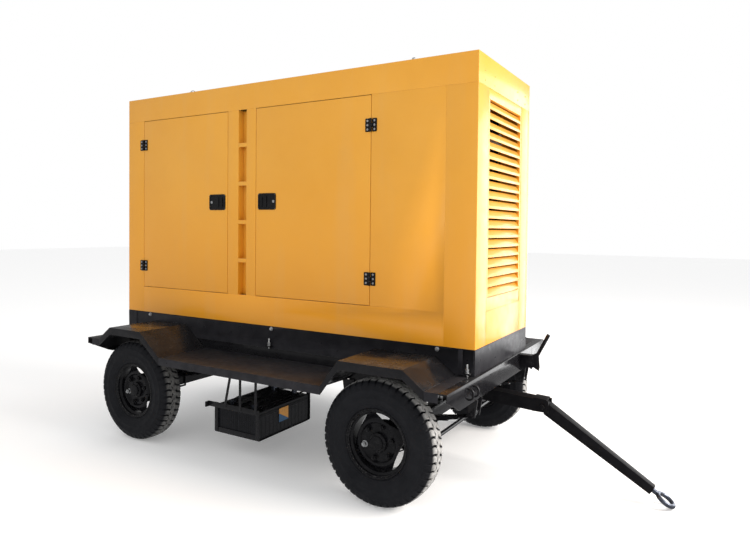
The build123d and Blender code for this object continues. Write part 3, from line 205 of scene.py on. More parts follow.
def powder_yellow():
    """Orange-yellow powder coat: orange peel, faint sheet waviness, thin dust and rain streaks, and a paler upper
    part that is painted sheen.
    """
    n = Nodes("powder_yellow")
    z = n.split(n.coords)[2]
    # the lower tone is deeper orange and the upper tone paler: the paler upper part is painted sheen
    low = n.mix(n.remap(n.noise(1.1, 4), 0.35, 0.65), (0.790, 0.318, 0.011), (0.825, 0.345, 0.018))
    high = n.mix(n.remap(n.noise(1.3, 4), 0.35, 0.65), (0.750, 0.338, 0.026), (0.785, 0.368, 0.036))
    tone = n.mix(n.remap(z, 1.0, 2.2), low, high)
    streak = n.remap(n.noise(5.0, 5, 0.6, stretch=(1.0, 1.0, 0.09)), 0.52, 0.78)
    tone = n.mix(n.math("MULTIPLY", streak, 0.12), tone, (0.62, 0.42, 0.20))
    smudge = n.remap(n.noise(3.1, 7, 0.68), 0.58, 0.80)
    tone = n.mix(n.math("MULTIPLY", smudge, 0.10), tone, (0.48, 0.27, 0.07))
    tone = n.mix(n.math("MULTIPLY", n.upward(), 0.20), tone, (0.55, 0.44, 0.30))
    speck = n.remap(n.noise(170.0, 2), 0.755, 0.775)
    tone = n.mix(n.math("MULTIPLY", speck, 0.45), tone, (0.20, 0.10, 0.03))
    rough = n.remap(n.noise(9.0, 5), 0.3, 0.7, 0.28, 0.42)
    peel = n.bump(n.noise(420.0, 2), 0.10, 0.0006)
    wavy = n.bump(n.noise(2.4, 2, stretch=(1.0, 1.0, 0.6)), 0.06, 0.010, under=peel)
    return n.done(tone, rough, wavy, coat=0.30, coat_rough=0.14)


def gloss_black(name="gloss_black", rough_low=0.10, rough_high=0.24, specular=0.27, lift=1.0, dusty=0.32):
    """Brushed-on black chassis enamel, with thin dust on its tops and rubbed edges."""
    n = Nodes(name)
    dark, light = (tuple(lift * c for c in tone)
                   for tone in ((0.0084, 0.0083, 0.0098), (0.0136, 0.0133, 0.0150)))
    base = n.mix(n.remap(n.noise(14.0, 6), 0.35, 0.7), dark, light)
    dust = n.math("MULTIPLY", n.upward(), n.remap(n.noise(6.0, 7, 0.7), 0.42, 0.78, 0.06 * dusty, dusty))
    base = n.mix(dust, base, (0.085, 0.080, 0.076))
    speck = n.remap(n.noise(95.0, 5, 0.75), 0.64, 0.70)
    base = n.mix(n.math("MULTIPLY", speck, 0.22), base, (0.13, 0.12, 0.115))
    worn = n.math("MULTIPLY", n.edges(0.004), n.remap(n.noise(60.0, 6, 0.7), 0.50, 0.64))
    base = n.mix(n.math("MULTIPLY", worn, 0.65), base, (0.13, 0.125, 0.12))
    rough = n.math("ADD", n.remap(n.noise(22.0, 6), 0.3, 0.7, rough_low, rough_high),
                   n.math("MULTIPLY", dust, 0.9))
    brush = n.bump(n.noise(90.0, 4, stretch=(0.2, 1.0, 1.0)), 0.10, 0.0007)
    lumps = n.bump(n.noise(9.0, 3), 0.06, 0.003, under=brush)
    return n.done(base, rough, lumps, specular=specular)


def wheel_black():
    """Darker enamel of the wheels, with a little dirt and worn edges."""
    n = Nodes("wheel_black")
    base = n.mix(n.remap(n.noise(20.0, 6), 0.35, 0.7), (0.0035, 0.0035, 0.0045), (0.008, 0.008, 0.0095))
    dirt = n.remap(n.noise(38.0, 8, 0.75), 0.54, 0.76)
    base = n.mix(n.math("MULTIPLY", dirt, 0.07), base, (0.10, 0.088, 0.075))
    worn = n.math("MULTIPLY", n.edges(0.003), n.remap(n.noise(90.0, 5), 0.50, 0.62))
    base = n.mix(n.math("MULTIPLY", worn, 0.4), base, (0.16, 0.155, 0.15))
    rough = n.remap(n.noise(30.0, 6), 0.3, 0.7, 0.14, 0.28)
    return n.done(base, rough, n.bump(n.noise(120.0, 4), 0.08, 0.0006), specular=0.24)


TREAD_FROM, TREAD_TO = 0.3885, 0.3975   # radii between which side wall turns to tread
SIDE_RIBS = 240


def tyre_rubber(name="tyre_rubber", dust=((0.185, 0.183, 0.178), (0.56, 0.555, 0.545))):
    """Black rubber: dull side walls with a fine grain, and the tread's tops in the given colours: dry grey dust,
    darkened with painted shade in the rear tyres' copy.
    """
    n = Nodes(name)
    x, _, z = n.split(n.coords)
    radius = n.math("SQRT", n.math("ADD", n.math("MULTIPLY", x, x), n.math("MULTIPLY", z, z)))
    tread = n.remap(radius, TREAD_FROM, TREAD_TO)
    patch = n.remap(n.noise(30.0, 8, 0.7), 0.30, 0.70)
    side = n.mix(n.remap(n.noise(9.0, 6), 0.3, 0.7), (0.0062, 0.0068, 0.0092), (0.0108, 0.0114, 0.0142))
    scuff = n.remap(n.noise(60.0, 8, 0.75), 0.54, 0.78)
    side = n.mix(n.math("MULTIPLY", scuff, 0.16), side, (0.060, 0.056, 0.050))
    dusty = n.mix(patch, *dust)
    color = n.mix(n.math("MULTIPLY", tread, 0.9), side, dusty)
    rough = n.remap(n.noise(40.0, 5), 0.3, 0.7, 0.46, 0.66)
    around = n.math("ARCTAN2", z, x)
    ribs = n.math("SINE", n.math("MULTIPLY", around, SIDE_RIBS))
    band = n.math("MULTIPLY", n.remap(radius, 0.344, 0.350), n.remap(radius, 0.379, 0.372))
    grain = n.bump(n.noise(900.0, 3), 0.16, 0.0005)
    ribbed = n.bump(n.math("MULTIPLY", ribs, band), 0.45, 0.0016, under=grain)
    return n.done(color, rough, n.bump(n.noise(70.0, 6), 0.20, 0.0010, under=ribbed), specular=0.17)


def plain_metal(name, dark, light, rough_low, rough_high, metal=1.0, scale=40.0):
    """Bare or plated metal with a fine drawn grain and small tone changes."""
    n = Nodes(name)
    tone = n.mix(n.remap(n.noise(scale, 6, 0.65), 0.3, 0.7), dark, light)
    rough = n.remap(n.noise(scale * 2.3, 5), 0.3, 0.7, rough_low, rough_high)
    return n.done(tone, rough, n.bump(n.noise(scale * 12, 3), 0.12, 0.0004), metal=metal)


def moulded(name, dark, light, rough_low, rough_high, grain=700.0, coat=0.0, specular=0.4):
    """Moulded or powder-coated plastic-like surface with a fine grain."""
    n = Nodes(name)
    tone = n.mix(n.remap(n.noise(18.0, 6), 0.3, 0.7), dark, light)
    tone = n.mix(n.math("MULTIPLY", n.upward(), 0.15), tone, (0.10, 0.095, 0.09))
    rough = n.remap(n.noise(45.0, 5), 0.3, 0.7, rough_low, rough_high)
    return n.done(tone, rough, n.bump(n.noise(grain, 2), 0.20, 0.0005), coat=coat, specular=specular)


def enamel(name, dark, light, rough_low=0.32, rough_high=0.55):
    """Sprayed machine enamel over a cast surface, oily and dusty in places."""
    n = Nodes(name)
    tone = n.mix(n.remap(n.noise(7.0, 6), 0.3, 0.7), dark, light)
    grime = n.remap(n.noise(16.0, 8, 0.72), 0.54, 0.74)
    tone = n.mix(n.math("MULTIPLY", grime, 0.5), tone, (0.035, 0.030, 0.026))
    rough = n.remap(n.noise(32.0, 5), 0.3, 0.7, rough_low, rough_high)
    cast = n.bump(n.noise(160.0, 4), 0.30, 0.0012)
    return n.done(tone, rough, n.bump(n.noise(30.0, 3), 0.2, 0.003, under=cast))


FOAM_PITCH = 0.038


def foam():
    """Dark acoustic foam with a pyramid relief, its hollows painted darker and its peaks lighter as painted shade.
    """
    n = Nodes("foam")
    x, _, z = n.split(n.coords)
    rows = n.math("SINE", n.math("MULTIPLY", z, TURN / FOAM_PITCH))
    columns = n.math("SINE", n.math("MULTIPLY", x, TURN / FOAM_PITCH))
    relief = n.math("MULTIPLY", rows, columns)
    # darker in the relief's hollows and lighter on its peaks: painted shade
    tone = n.mix(n.remap(relief, -1.0, 1.0), (0.010, 0.010, 0.011), (0.030, 0.030, 0.032))
    grain = n.bump(n.noise(260.0, 4), 0.5, 0.002)
    rough = n.remap(n.noise(60.0), 0.3, 0.7, 0.86, 0.97)
    return n.done(tone, rough, n.bump(relief, 0.9, 0.010, under=grain), specular=0.1)


FIN_PITCH = 0.0045
TUBE_PITCH = 0.014


def fin_core():
    """A radiator core: fine level fins across upright tubes, with painted shade in the gaps between the tubes."""
    n = Nodes("fin_core")
    _, y, z = n.split(n.coords)
    fins = n.math("SINE", n.math("MULTIPLY", z, TURN / FIN_PITCH))
    tubes = n.math("SINE", n.math("MULTIPLY", y, TURN / TUBE_PITCH))
    # darker between the tubes and lighter on them: painted shade in the gaps
    tone = n.mix(n.remap(tubes, -0.2, 0.8), (0.012, 0.012, 0.013), (0.050, 0.050, 0.052))
    tone = n.mix(n.math("MULTIPLY", n.noise(12.0, 6), 0.2), tone, (0.11, 0.09, 0.07))
    relief = n.bump(fins, 0.5, 0.0012)
    normal = n.bump(tubes, 0.7, 0.002, under=relief)
    return n.done(tone, n.remap(n.noise(20.0), 0.3, 0.7, 0.45, 0.65), normal, metal=0.3)


def label_patch():
    """A plain two-colour battery label with no words."""
    n = Nodes("label_patch")
    _, y, z = n.split(n.coords)
    slope = n.math("SUBTRACT", z, n.math("MULTIPLY", y, -0.55))
    tone = n.mix(n.remap(slope, -0.005, 0.0), (0.02, 0.10, 0.22), (0.66, 0.30, 0.05))
    tone = n.mix(n.remap(n.noise(60.0, 5), 0.55, 0.75, 0.0, 0.4), tone, (0.10, 0.09, 0.08))
    return n.done(tone, n.remap(n.noise(30.0), 0.3, 0.7, 0.35, 0.5), n.bump(n.noise(300.0), 0.1, 0.0004))


def lamp_glass(name, color):
    """Coloured lens of a small signal lamp."""
    n = Nodes(name)
    tone = n.mix(n.noise(80.0), color, tuple(c * 0.6 for c in color))
    return n.done(tone, 0.12, n.bump(n.noise(500.0), 0.08, 0.0003), coat=1.0, coat_rough=0.03)


MATERIALS = {
    "canopy_yellow": powder_yellow(),
    "chassis_black": gloss_black(),
    "wheel_black": wheel_black(),
    "tyre_rubber": tyre_rubber(),
    "bright_steel": plain_metal("bright_steel", (0.60, 0.61, 0.62), (0.86, 0.87, 0.88), 0.20, 0.36),
    "forged_steel": plain_metal("forged_steel", (0.030, 0.036, 0.055), (0.20, 0.22, 0.27), 0.24, 0.44, 0.9),
    "latch_black": moulded("latch_black", (0.004, 0.004, 0.005), (0.009, 0.009, 0.010), 0.20, 0.34,
                           specular=0.28),
    "tank_black": moulded("tank_black", (0.010, 0.010, 0.011), (0.020, 0.020, 0.022), 0.40, 0.60),
    "cap_red": moulded("cap_red", (0.48, 0.010, 0.008), (0.60, 0.020, 0.014), 0.28, 0.40, coat=0.3),
    "engine_grey": enamel("engine_grey", (0.13, 0.165, 0.165), (0.19, 0.225, 0.22)),
    "cast_grey": enamel("cast_grey", (0.12, 0.135, 0.15), (0.19, 0.205, 0.22), 0.40, 0.62),
    "fan_black": moulded("fan_black", (0.012, 0.012, 0.012), (0.022, 0.022, 0.022), 0.40, 0.55),
    "radiator_black": fin_core(),
    "silencer_steel": enamel("silencer_steel", (0.22, 0.22, 0.215), (0.36, 0.355, 0.34), 0.42, 0.60),
    "panel_grey": moulded("panel_grey", (0.34, 0.35, 0.35), (0.40, 0.41, 0.41), 0.38, 0.50, grain=380.0),
    "battery_black": moulded("battery_black", (0.0030, 0.0032, 0.0050), (0.0075, 0.0078, 0.0105), 0.24, 0.40,
                             specular=0.24),
}
DRAWBAR_BLACK = gloss_black("drawbar_black", 0.34, 0.46, 0.04, 0.7, 0.08)
SATIN_BLACK = gloss_black("satin_black", 0.26, 0.40, 0.12, 2.2, 0.24)
# the rear tyres' rubber, with its tread dust darkened as painted shade
SHADED_REAR_RUBBER = tyre_rubber("rear_rubber_painted_shade", ((0.050, 0.050, 0.050), (0.19, 0.187, 0.18)))
FOAM = foam()
LABEL = label_patch()
RUBBER_SEAL = moulded("rubber_seal", (0.008, 0.008, 0.008), (0.016, 0.016, 0.016), 0.55, 0.7, specular=0.2)
DIAL = moulded("dial_face", (0.62, 0.62, 0.60), (0.70, 0.70, 0.68), 0.30, 0.40)
GREEN_LAMP = lamp_glass("green_lamp", (0.02, 0.45, 0.06))
AMBER_LAMP = lamp_glass("amber_lamp", (0.80, 0.34, 0.01))


# -------------------- mesh helpers

def link(name, mesh, slot, material=None, smooth=35.0):
    """An object from a mesh, shaded smooth up to an angle, with its slot's material."""
    mesh.materials.clear()
    mesh.materials.append(material or MATERIALS[slot])
    mesh.shade_smooth()
    mesh.set_sharp_from_angle(angle=math.radians(smooth))
    piece = bpy.data.objects.new(name, mesh)
    bpy.context.scene.collection.objects.link(piece)
    return piece


def to_mesh(bm, name):
    mesh = bpy.data.meshes.new(name)
    bm.normal_update()
    bm.to_mesh(mesh)
    bm.free()
    return mesh


def place(name, bm, body, slot, node=None, material=None):
    """Turn a bmesh into a piece that rides a body, and stands in for a CAD node where one is named."""
    piece = link(name, to_mesh(bm, name), slot, material)
    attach(piece, body)
    if node:
        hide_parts(node)


def edge_bevel(bm, width, segments=2, angle=30.0):
    """Round every edge that is sharper than an angle."""
    sharp = [e for e in bm.edges if len(e.link_faces) == 2 and e.calc_face_angle(0.0) > math.radians(angle)]
    bmesh.ops.bevel(bm, geom=sharp, offset=width, offset_type="OFFSET", segments=segments, profile=0.6,
                    affect="EDGES", clamp_overlap=True)


def node_bmesh(node):
    """A CAD node's mesh with its seams merged and its flat faces whole again."""
    bm = bmesh.new()
    bm.from_mesh(frame["nodes"][node].data)
    bmesh.ops.remove_doubles(bm, verts=bm.verts, dist=2e-6)
    bmesh.ops.dissolve_limit(bm, angle_limit=math.radians(0.4), verts=bm.verts, edges=bm.edges)
    return bm


def refine(node, width, material=None):
    """Stand a round-edged copy in for a CAD node of the right shape."""
    bm = node_bmesh(node)
    edge_bevel(bm, width * MM)
    place(node + "_finish", bm, BODY_OF[node], SLOT_OF[node], node, material)


def sorted_out(bm):
    """Face every closed shell outwards."""
    bmesh.ops.recalc_face_normals(bm, faces=bm.faces)
    return bm


def absorb(bm, extra):
    """Move another bmesh's shapes into this one."""
    spare = to_mesh(extra, "spare")
    bm.from_mesh(spare)
    bpy.data.meshes.remove(spare)


# -------------------- shape helpers

def spun(r, y, a):
    """The point at a radius and a Y, in millimetres, turned about the Y axis."""
    return r * MM * math.cos(a), y * MM, r * MM * math.sin(a)


def bridge(bm, low, high, closed=True):
    """Quads between two rows of vertices."""
    for j in range(len(low) if closed else len(low) - 1):
        k = (j + 1) % len(low)
        bm.faces.new((low[j], low[k], high[k], high[j]))


def ring_of(bm, rows):
    """A skin through rows of points that ends where it began."""
    rows = [[bm.verts.new(p) for p in row] for row in rows]
    for low, high in zip(rows, rows[1:] + rows[:1]):
        bridge(bm, low, high)


def lathe(bm, outline, segments, closed=True):
    """Turn an outline of (radius, y) points, in millimetres, about the Y axis."""
    rings = [[bm.verts.new(spun(r, y, TURN * i / segments)) for r, y in outline] for i in range(segments)]
    for here, there in zip(rings, rings[1:] + rings[:1]):
        bridge(bm, here, there, closed)
    if not closed:
        for end in (0, -1):
            radius, y = outline[end]
            if radius < 0.01:
                bmesh.ops.pointmerge(bm, verts=[ring[end] for ring in rings], merge_co=(0, y * MM, 0))


def loft(bm, loops):
    """A skin through loops of points, closed at both ends."""
    rows = [[bm.verts.new(p) for p in loop] for loop in loops]
    for low, high in zip(rows, rows[1:]):
        bridge(bm, low, high)
    bm.faces.new(reversed(rows[0]))
    bm.faces.new(rows[-1])


def circle(centre, axis, radius, sides):
    """Points of a circle about an axis."""
    axis = Vector(axis).normalized()
    side = axis.orthogonal().normalized()
    up = axis.cross(side)
    turns = [TURN * i / sides for i in range(sides)]
    return [Vector(centre) + radius * (side * math.cos(a) + up * math.sin(a)) for a in turns]


def turned(bm, start, axis, steps, sides=24):
    """A turned part: steps are (distance along the axis, radius), in metres."""
    axis = Vector(axis).normalized()
    loft(bm, [circle(Vector(start) + axis * d, axis, max(r, 1e-5), sides) for d, r in steps])


def brick(bm, low, high):
    """A box between two corners."""
    made = bmesh.ops.create_cube(bm, size=1.0)["verts"]
    low, high = Vector(low), Vector(high)
    size, centre = high - low, (low + high) / 2
    for v in made:
        v.co = Vector((v.co.x * size.x, v.co.y * size.y, v.co.z * size.z)) + centre


def nut(bm, at, axis, across, height, stud=0.0):
    """A hex nut with a chamfered top, and a stud's end standing out of it."""
    r = across / math.sqrt(3)
    turned(bm, at, axis, [(0, r), (height * 0.85, r), (height, r * 0.86)], 6)
    if stud:
        turned(bm, at, axis, [(0, r * 0.48), (height + stud * 0.8, r * 0.48), (height + stud, r * 0.38)], 12)


def screw(bm, at, axis, radius):
    """A low domed screw head with a small round recess."""
    outline = ((0, 1), (0.28, 0.94), (0.5, 0.68), (0.6, 0.3), (0.42, 0.16))
    turned(bm, at, axis, [(radius * out, radius * r) for out, r in outline], 14)


def pipe(bm, points, radius, sides=14, smooth=8):
    """A round pipe along a rounded path."""
    points = [Vector(p) for p in points]
    path = [points[0]]
    for before, corner, after in zip(points, points[1:], points[2:]):
        reach = min((before - corner).length, (after - corner).length) * 0.45
        a = corner + (before - corner).normalized() * reach
        b = corner + (after - corner).normalized() * reach
        for i in range(smooth + 1):
            t = i / smooth
            path.append(a * (1 - t) ** 2 + corner * 2 * t * (1 - t) + b * t ** 2)
    path.append(points[-1])
    side = (path[1] - path[0]).orthogonal().normalized()
    loops = []
    for i, point in enumerate(path):
        along = (path[min(i + 1, len(path) - 1)] - path[max(i - 1, 0)]).normalized()
        side = (side - along * side.dot(along)).normalized()
        up = along.cross(side)
        loops.append([point + radius * (side * math.cos(TURN * k / sides) + up * math.sin(TURN * k / sides))
                      for k in range(sides)])
    loft(bm, loops)


# -------------------- wheels

LUG_COUNT = 48
# one shoulder lug's sections: distance out, foot and top radius, half angle, skew
SHOULDER_LUG = ((22, 383, 399.6, 0.040, 0.020), (34, 383, 399.2, 0.045, 0.004),
                (50, 382, 398.0, 0.046, -0.010), (70, 374, 388.5, 0.047, -0.004),
                (82, 362, 373.0, 0.047, 0.0), (90, 346, 349.0, 0.038, 0.0))
RIB_HALF_W = 17
RIB_SWING = 9
WINDOW_TURNS = (66, 156, 246, 336)
WINDOW_REACH = 60  # degrees to each side in which a window may cut the disc
WINDOW_CHORD = 148  # from the axle to a window's straight edge
DISC_R = (62, 186)
DISC_OUT = 34  # the flat round the studs, from the wheel's middle
DISC_RISE = (116, 133, 19)  # two radii, and the height gained between them
DISC_FALL = (134, 184, 27)
DISC_THICK = 8
NUT_CIRCLE = 102
NUT_COUNT = 6
BRIGHT_NUT = 3


def tread_lug(bm, angle, sections, side):
    """One shoulder block, lofted outwards from the tread's middle."""
    loops = []
    for y, low, top, half, skew in sections:
        a = angle + skew * side
        foot = half * 1.16
        points = [spun(r, side * y, a + w) for r, w in ((low, foot), (top, half), (top, -half), (low, -foot))]
        loops.append(points if side > 0 else points[::-1])
    loft(bm, loops)


def centre_rib(bm):
    """A zigzag rib right round the tread."""
    count = LUG_COUNT * 4
    swings = (0, RIB_SWING, 0, -RIB_SWING)
    section = ((383, -RIB_HALF_W - 2), (400, -RIB_HALF_W), (400, RIB_HALF_W), (383, RIB_HALF_W + 2))
    ring_of(bm, [[spun(r, y + swings[i % 4], TURN * i / count) for r, y in section] for i in range(count)])


def tyre_mesh():
    """A cross-ply tyre: ringed side walls and a staggered block tread."""
    side = [(204, 54), (204, 69), (221, 71), (224, 76.5), (229, 80), (234, 78.6), (240, 82), (246, 85.4),
            (249, 84.8), (262, 90.6), (281, 93.6), (285, 95.4), (291, 95.5), (295, 94.0), (312, 94.2),
            (329, 92.4), (333, 93.9), (340, 93.2), (344, 90.8), (360, 85.2), (371, 79.5), (379, 69),
            (384, 50), (385, 22)]
    inside = [(374, 44), (360, 62), (298, 78), (250, 71)]
    outline = side + [(r, -y) for r, y in reversed(side)] + [(r, -y) for r, y in reversed(inside)] + inside
    bm = bmesh.new()
    lathe(bm, outline, 120)
    blocks = bmesh.new()
    pitch = TURN / LUG_COUNT
    for i in range(LUG_COUNT):
        tread_lug(blocks, i * pitch, SHOULDER_LUG, 1)
        tread_lug(blocks, (i + 0.5) * pitch, SHOULDER_LUG, -1)
    centre_rib(blocks)
    edge_bevel(sorted_out(blocks), 1.3 * MM, 1, 40)
    absorb(bm, blocks)
    return to_mesh(sorted_out(bm), "tyre")


def disc_reach(angle):
    """Outer radius of the disc: a chord at each of its four windows, else the rim."""
    for turn in WINDOW_TURNS:
        away = (math.degrees(angle) - turn + 180) % 360 - 180
        if abs(away) < WINDOW_REACH:
            chord = WINDOW_CHORD / math.cos(math.radians(away))
            if chord < DISC_R[1]:
                return chord
    return DISC_R[1]


def eased(value, low, high, gain):
    """0 up to low, gain from high on, and an easy change between them."""
    t = max(0.0, min(1.0, (value - low) / (high - low)))
    return gain * t * t * (3 - 2 * t)


def disc_out(r):
    """The disc's height at a radius: flat at the studs, raised round them, and falling to the rim."""
    return DISC_OUT + eased(r, *DISC_RISE) - eased(r, *DISC_FALL)


def rim_mesh():
    """Rim with rolled flanges and a well, and its pressed disc with four windows."""
    shell = [(220, 74), (216, 77.5), (209, 76.4), (204.5, 71), (203.4, 52), (190, 41), (188, 28)]
    inner = [(183, 28), (185, 44), (198, 55), (199, 68.5), (204, 71.2), (212, 71.8), (215.5, 71.6)]
    outline = shell + [(r, -y) for r, y in reversed(shell)] + [(r, -y) for r, y in reversed(inner)] + inner
    bm = bmesh.new()
    lathe(bm, outline, 96)
    segments, rings = 128, 22
    bore = DISC_R[0]
    front, rear = [], []
    for grid, depth in ((front, 0), (rear, DISC_THICK)):
        for i in range(segments):
            a = TURN * i / segments
            radii = [bore + (disc_reach(a) - bore) * j / rings for j in range(rings + 1)]
            grid.append([bm.verts.new(spun(r, depth - disc_out(r), a)) for r in radii])
    for i in range(segments):
        k = (i + 1) % segments
        for j in range(rings):
            bm.faces.new((front[i][j], front[i][j + 1], front[k][j + 1], front[k][j]))
            bm.faces.new((rear[i][j], rear[k][j], rear[k][j + 1], rear[i][j + 1]))
        bm.faces.new((front[i][0], front[k][0], rear[k][0], rear[i][0]))
        bm.faces.new((front[i][rings], rear[i][rings], rear[k][rings], front[k][rings]))
    valve = [(-0.004, 0.004), (0.020, 0.0035), (0.030, 0.0042), (0.036, 0.0036)]
    turned(sorted_out(bm), (0.193, -0.070, 0.0), (-0.25, -1.0, 0), valve, 12)
    return to_mesh(bm, "rim")


def hub_mesh():
    """Hub barrel, drum and flange, with a pressed grease cap."""
    outline = [(0, -76), (14, -76), (16, -74.5), (30, -74), (40, -72), (45, -67), (46, -58), (50, -57.5),
               (52, -56.2), (58, -56), (61, -53), (61, -27), (132, -26), (132, -12), (64, -12), (61, 0),
               (61, 28), (110, 29), (116, 32), (118, 38), (118, 64), (115, 70), (64, 71), (61, 75), (61, 84),
               (34, 84)]
    bm = bmesh.new()
    lathe(bm, outline, 72, closed=False)
    for i in range(6):
        nut(bm, spun(53, -56.5, TURN * i / 6), (0, -1, 0), 0.010, 0.005)
    return to_mesh(sorted_out(bm), "hub")


def nuts_mesh(which):
    """The chosen wheel nuts, each on its washer with its stud's end."""
    bm = bmesh.new()
    for i in which:
        a = TURN * i / NUT_COUNT + math.radians(15)
        turned(bm, spun(NUT_CIRCLE, -DISC_OUT, a), (0, -1, 0), [(0, 0.021), (0.0035, 0.0205)])
        nut(bm, spun(NUT_CIRCLE, -DISC_OUT - 3.5, a), (0, -1, 0), 0.030, 0.020, 0.008)
    return to_mesh(sorted_out(bm), "wheel_nuts")


def wheels():
    """The four wheels, which share their meshes; the front tyres' treads carry grey dust, and the rear tyres'
    treads are darkened with painted shade.
    """
    tyres = {"front": (tyre_mesh(), MATERIALS["tyre_rubber"]), "rear": (tyre_mesh(), SHADED_REAR_RUBBER)}
    rim, hub = rim_mesh(), hub_mesh()
    dull = nuts_mesh([i for i in range(NUT_COUNT) if i != BRIGHT_NUT])
    bright = nuts_mesh([BRIGHT_NUT])
    for corner in WHEELS:
        axle, hand = corner.split("_")
        turn = Matrix.Rotation(math.pi if hand == "left" else 0.0, 4, "Z")
        at = Matrix.Translation(joint_at(f"wheel_{corner}_spin")) @ turn
        rubber, rubber_finish = tyres[axle]
        for name, mesh, slot, material, node, smooth in (
                ("rubber", rubber, "tyre_rubber", rubber_finish, "tyre", 32),
                ("wheel", rim, "wheel_black", None, "rim", 40),
                ("hub_turned", hub, "wheel_black", None, "hub", 30),
                ("nuts", dull, "wheel_black", None, "hub", 30),
                ("bright_nut", bright, "bright_steel", None, "hub", 30)):
            piece = link(f"{name}_{corner}", mesh, slot, material, smooth)
            piece.matrix_world = at
            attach(piece, f"wheel_{corner}")
            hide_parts(f"{node}_{corner}")


wheels()


# -------------------- doors, hinges and latches

def ring_points(x0, x1, z0, z1, y):
    """The corners of a rectangle in the XZ plane."""
    return [pt(x0, y, z0), pt(x1, y, z0), pt(x1, y, z1), pt(x0, y, z1)]


def rounded(x, z, half_w, half_h, r, y, steps=5):
    """Points of a round-cornered rectangle in the XZ plane."""
    points = []
    for corner, (sx, sz) in enumerate(((1, 1), (-1, 1), (-1, -1), (1, -1))):
        for i in range(steps + 1):
            a = math.pi / 2 * (corner + i / steps)
            points.append(pt(x + sx * (half_w - r) + r * math.cos(a), y,
                             z + sz * (half_h - r) + r * math.sin(a)))
    return points


def hinge_leaf(bm, axis_x, way, z, side, inner_knuckle):
    """A black pressed leaf with its knuckles; way is the side of the pin it lies on."""
    y = side * CANOPY_HALF_W
    x0, x1 = sorted((axis_x + way * 9, axis_x + way * 47))
    slab = [rounded((x0 + x1) / 2, z, 19 - inset, HINGE_REACH - inset, 6, y + side * out)
            for out, inset in ((0, 0), (3.0, 0), (4.0, 1.0))]
    loft(bm, slab)
    spans = ((-15, 15),) if inner_knuckle else ((-HINGE_REACH, -16), (16, HINGE_REACH))
    for a, b in spans:
        turned(bm, pt(axis_x, y + side * 9, z + a), (0, 0, 1),
               [(0, 0.0072), (0.001, 0.008), ((b - a) * MM - 0.001, 0.008), ((b - a) * MM, 0.0072)], 20)
        wing = sorted((axis_x + way * 2, axis_x + way * 12))
        low, high = sorted((y + side, y + side * 4))
        brick(bm, pt(wing[0], low, z + a), pt(wing[1], high, z + b))


def hinge_screws(bm, axis_x, way, z, side):
    """Three screws down the middle of a leaf."""
    for dz in (-30, 0, 30):
        screw(bm, pt(axis_x + way * 28, side * (CANOPY_HALF_W + 3.6), z + dz), (0, side, 0), 0.0085)


def latch_dish(bm, x, side):
    """A pressed dish with a rolled border."""
    y = side * CANOPY_HALF_W
    steps = ((90, 64, 16, 0), (90, 64, 16, 3.4), (88, 62, 15, 5.2), (83, 57, 12, 5.4), (80, 54, 10, 3.4),
             (DISH_HALF_W, DISH_HALF_H, 8, 2.4), (73, 49, 8, -20), (70, 46, 8, -23))
    loft(bm, [rounded(x, LATCH_Z, w, h, r, y + side * out) for w, h, r, out in steps])


def dress_door(name, hand):
    """A door's folded skin with its dish hole, its black fittings, screws, foam and seal."""
    side = SIDES[hand]
    x0, x1, axis_x, way = DOORS[name]
    z0, z1 = DOOR_Z
    node = f"door_{name}_{hand}"
    body = BODY_OF[node]
    y = side * CANOPY_HALF_W
    inner, back = y - side * DOOR_SHEET, y - side * DOOR_DEPTH
    x = LATCH_X[name]
    lock_x = x - way * LOCK_AWAY
    hole = (x - DISH_HALF_W, x + DISH_HALF_W, LATCH_Z - DISH_HALF_H, LATCH_Z + DISH_HALF_H)
    inside = (x0 + DOOR_SHEET, x1 - DOOR_SHEET, z0 + DOOR_SHEET, z1 - DOOR_SHEET)
    bm = bmesh.new()
    ring_of(bm, [ring_points(*hole, y), ring_points(x0, x1, z0, z1, y), ring_points(x0, x1, z0, z1, back),
                 ring_points(*inside, back), ring_points(*inside, inner), ring_points(*hole, inner)])
    edge_bevel(sorted_out(bm), 1.8 * MM)
    place(f"{node}_skin", bm, body, "canopy_yellow", node)

    bm = bmesh.new()
    for z in HINGES_Z:
        hinge_leaf(bm, axis_x, way, z, side, False)
    latch_dish(bm, x, side)
    turned(bm, pt(lock_x, y - side * 20, LATCH_Z), (0, side, 0),
           [(0, 0.016), (0.017, 0.0155), (0.019, 0.0145)])
    place(f"{node}_fittings", sorted_out(bm), body, "latch_black", node)

    bm = bmesh.new()
    for z in HINGES_Z:
        hinge_screws(bm, axis_x, way, z, side)
    turned(bm, pt(lock_x, y - side * 2, LATCH_Z), (0, side, 0),
           [(0, 0.0115), (0.0045, 0.0112), (0.0055, 0.0100), (0.0050, 0.0040), (0.0030, 0.0038)])
    for dx, dz in ((-82, -56), (82, -56), (-82, 56), (82, 56)):
        screw(bm, pt(x + dx, y + side * 3.6, LATCH_Z + dz), (0, side, 0), 0.0035)
    place(f"{node}_screws", sorted_out(bm), body, "bright_steel", node)

    bm = bmesh.new()
    for low, high in ((z0 + DOOR_FOAM_IN, LATCH_Z - 90), (LATCH_Z + 90, z1 - DOOR_FOAM_IN)):
        loft(bm, [ring_points(x0 + DOOR_FOAM_IN, x1 - DOOR_FOAM_IN, low, high, back + side * d)
                  for d in (30, 4)])
    edge_bevel(sorted_out(bm), 6 * MM, 3)
    place(f"{node}_foam", bm, body, "tank_black", node, FOAM)

    bm = bmesh.new()
    left, right, foot, top = x0 + DOOR_SEAL_IN, x1 - DOOR_SEAL_IN, z0 + DOOR_SEAL_IN, z1 - DOOR_SEAL_IN
    seal_y = back - side
    pipe(bm, ring_points(left, right, foot, top, seal_y) + [pt(left, seal_y, foot + 6)], 0.006, 8, 3)
    place(f"{node}_seal", sorted_out(bm), body, "tank_black", node, RUBBER_SEAL)


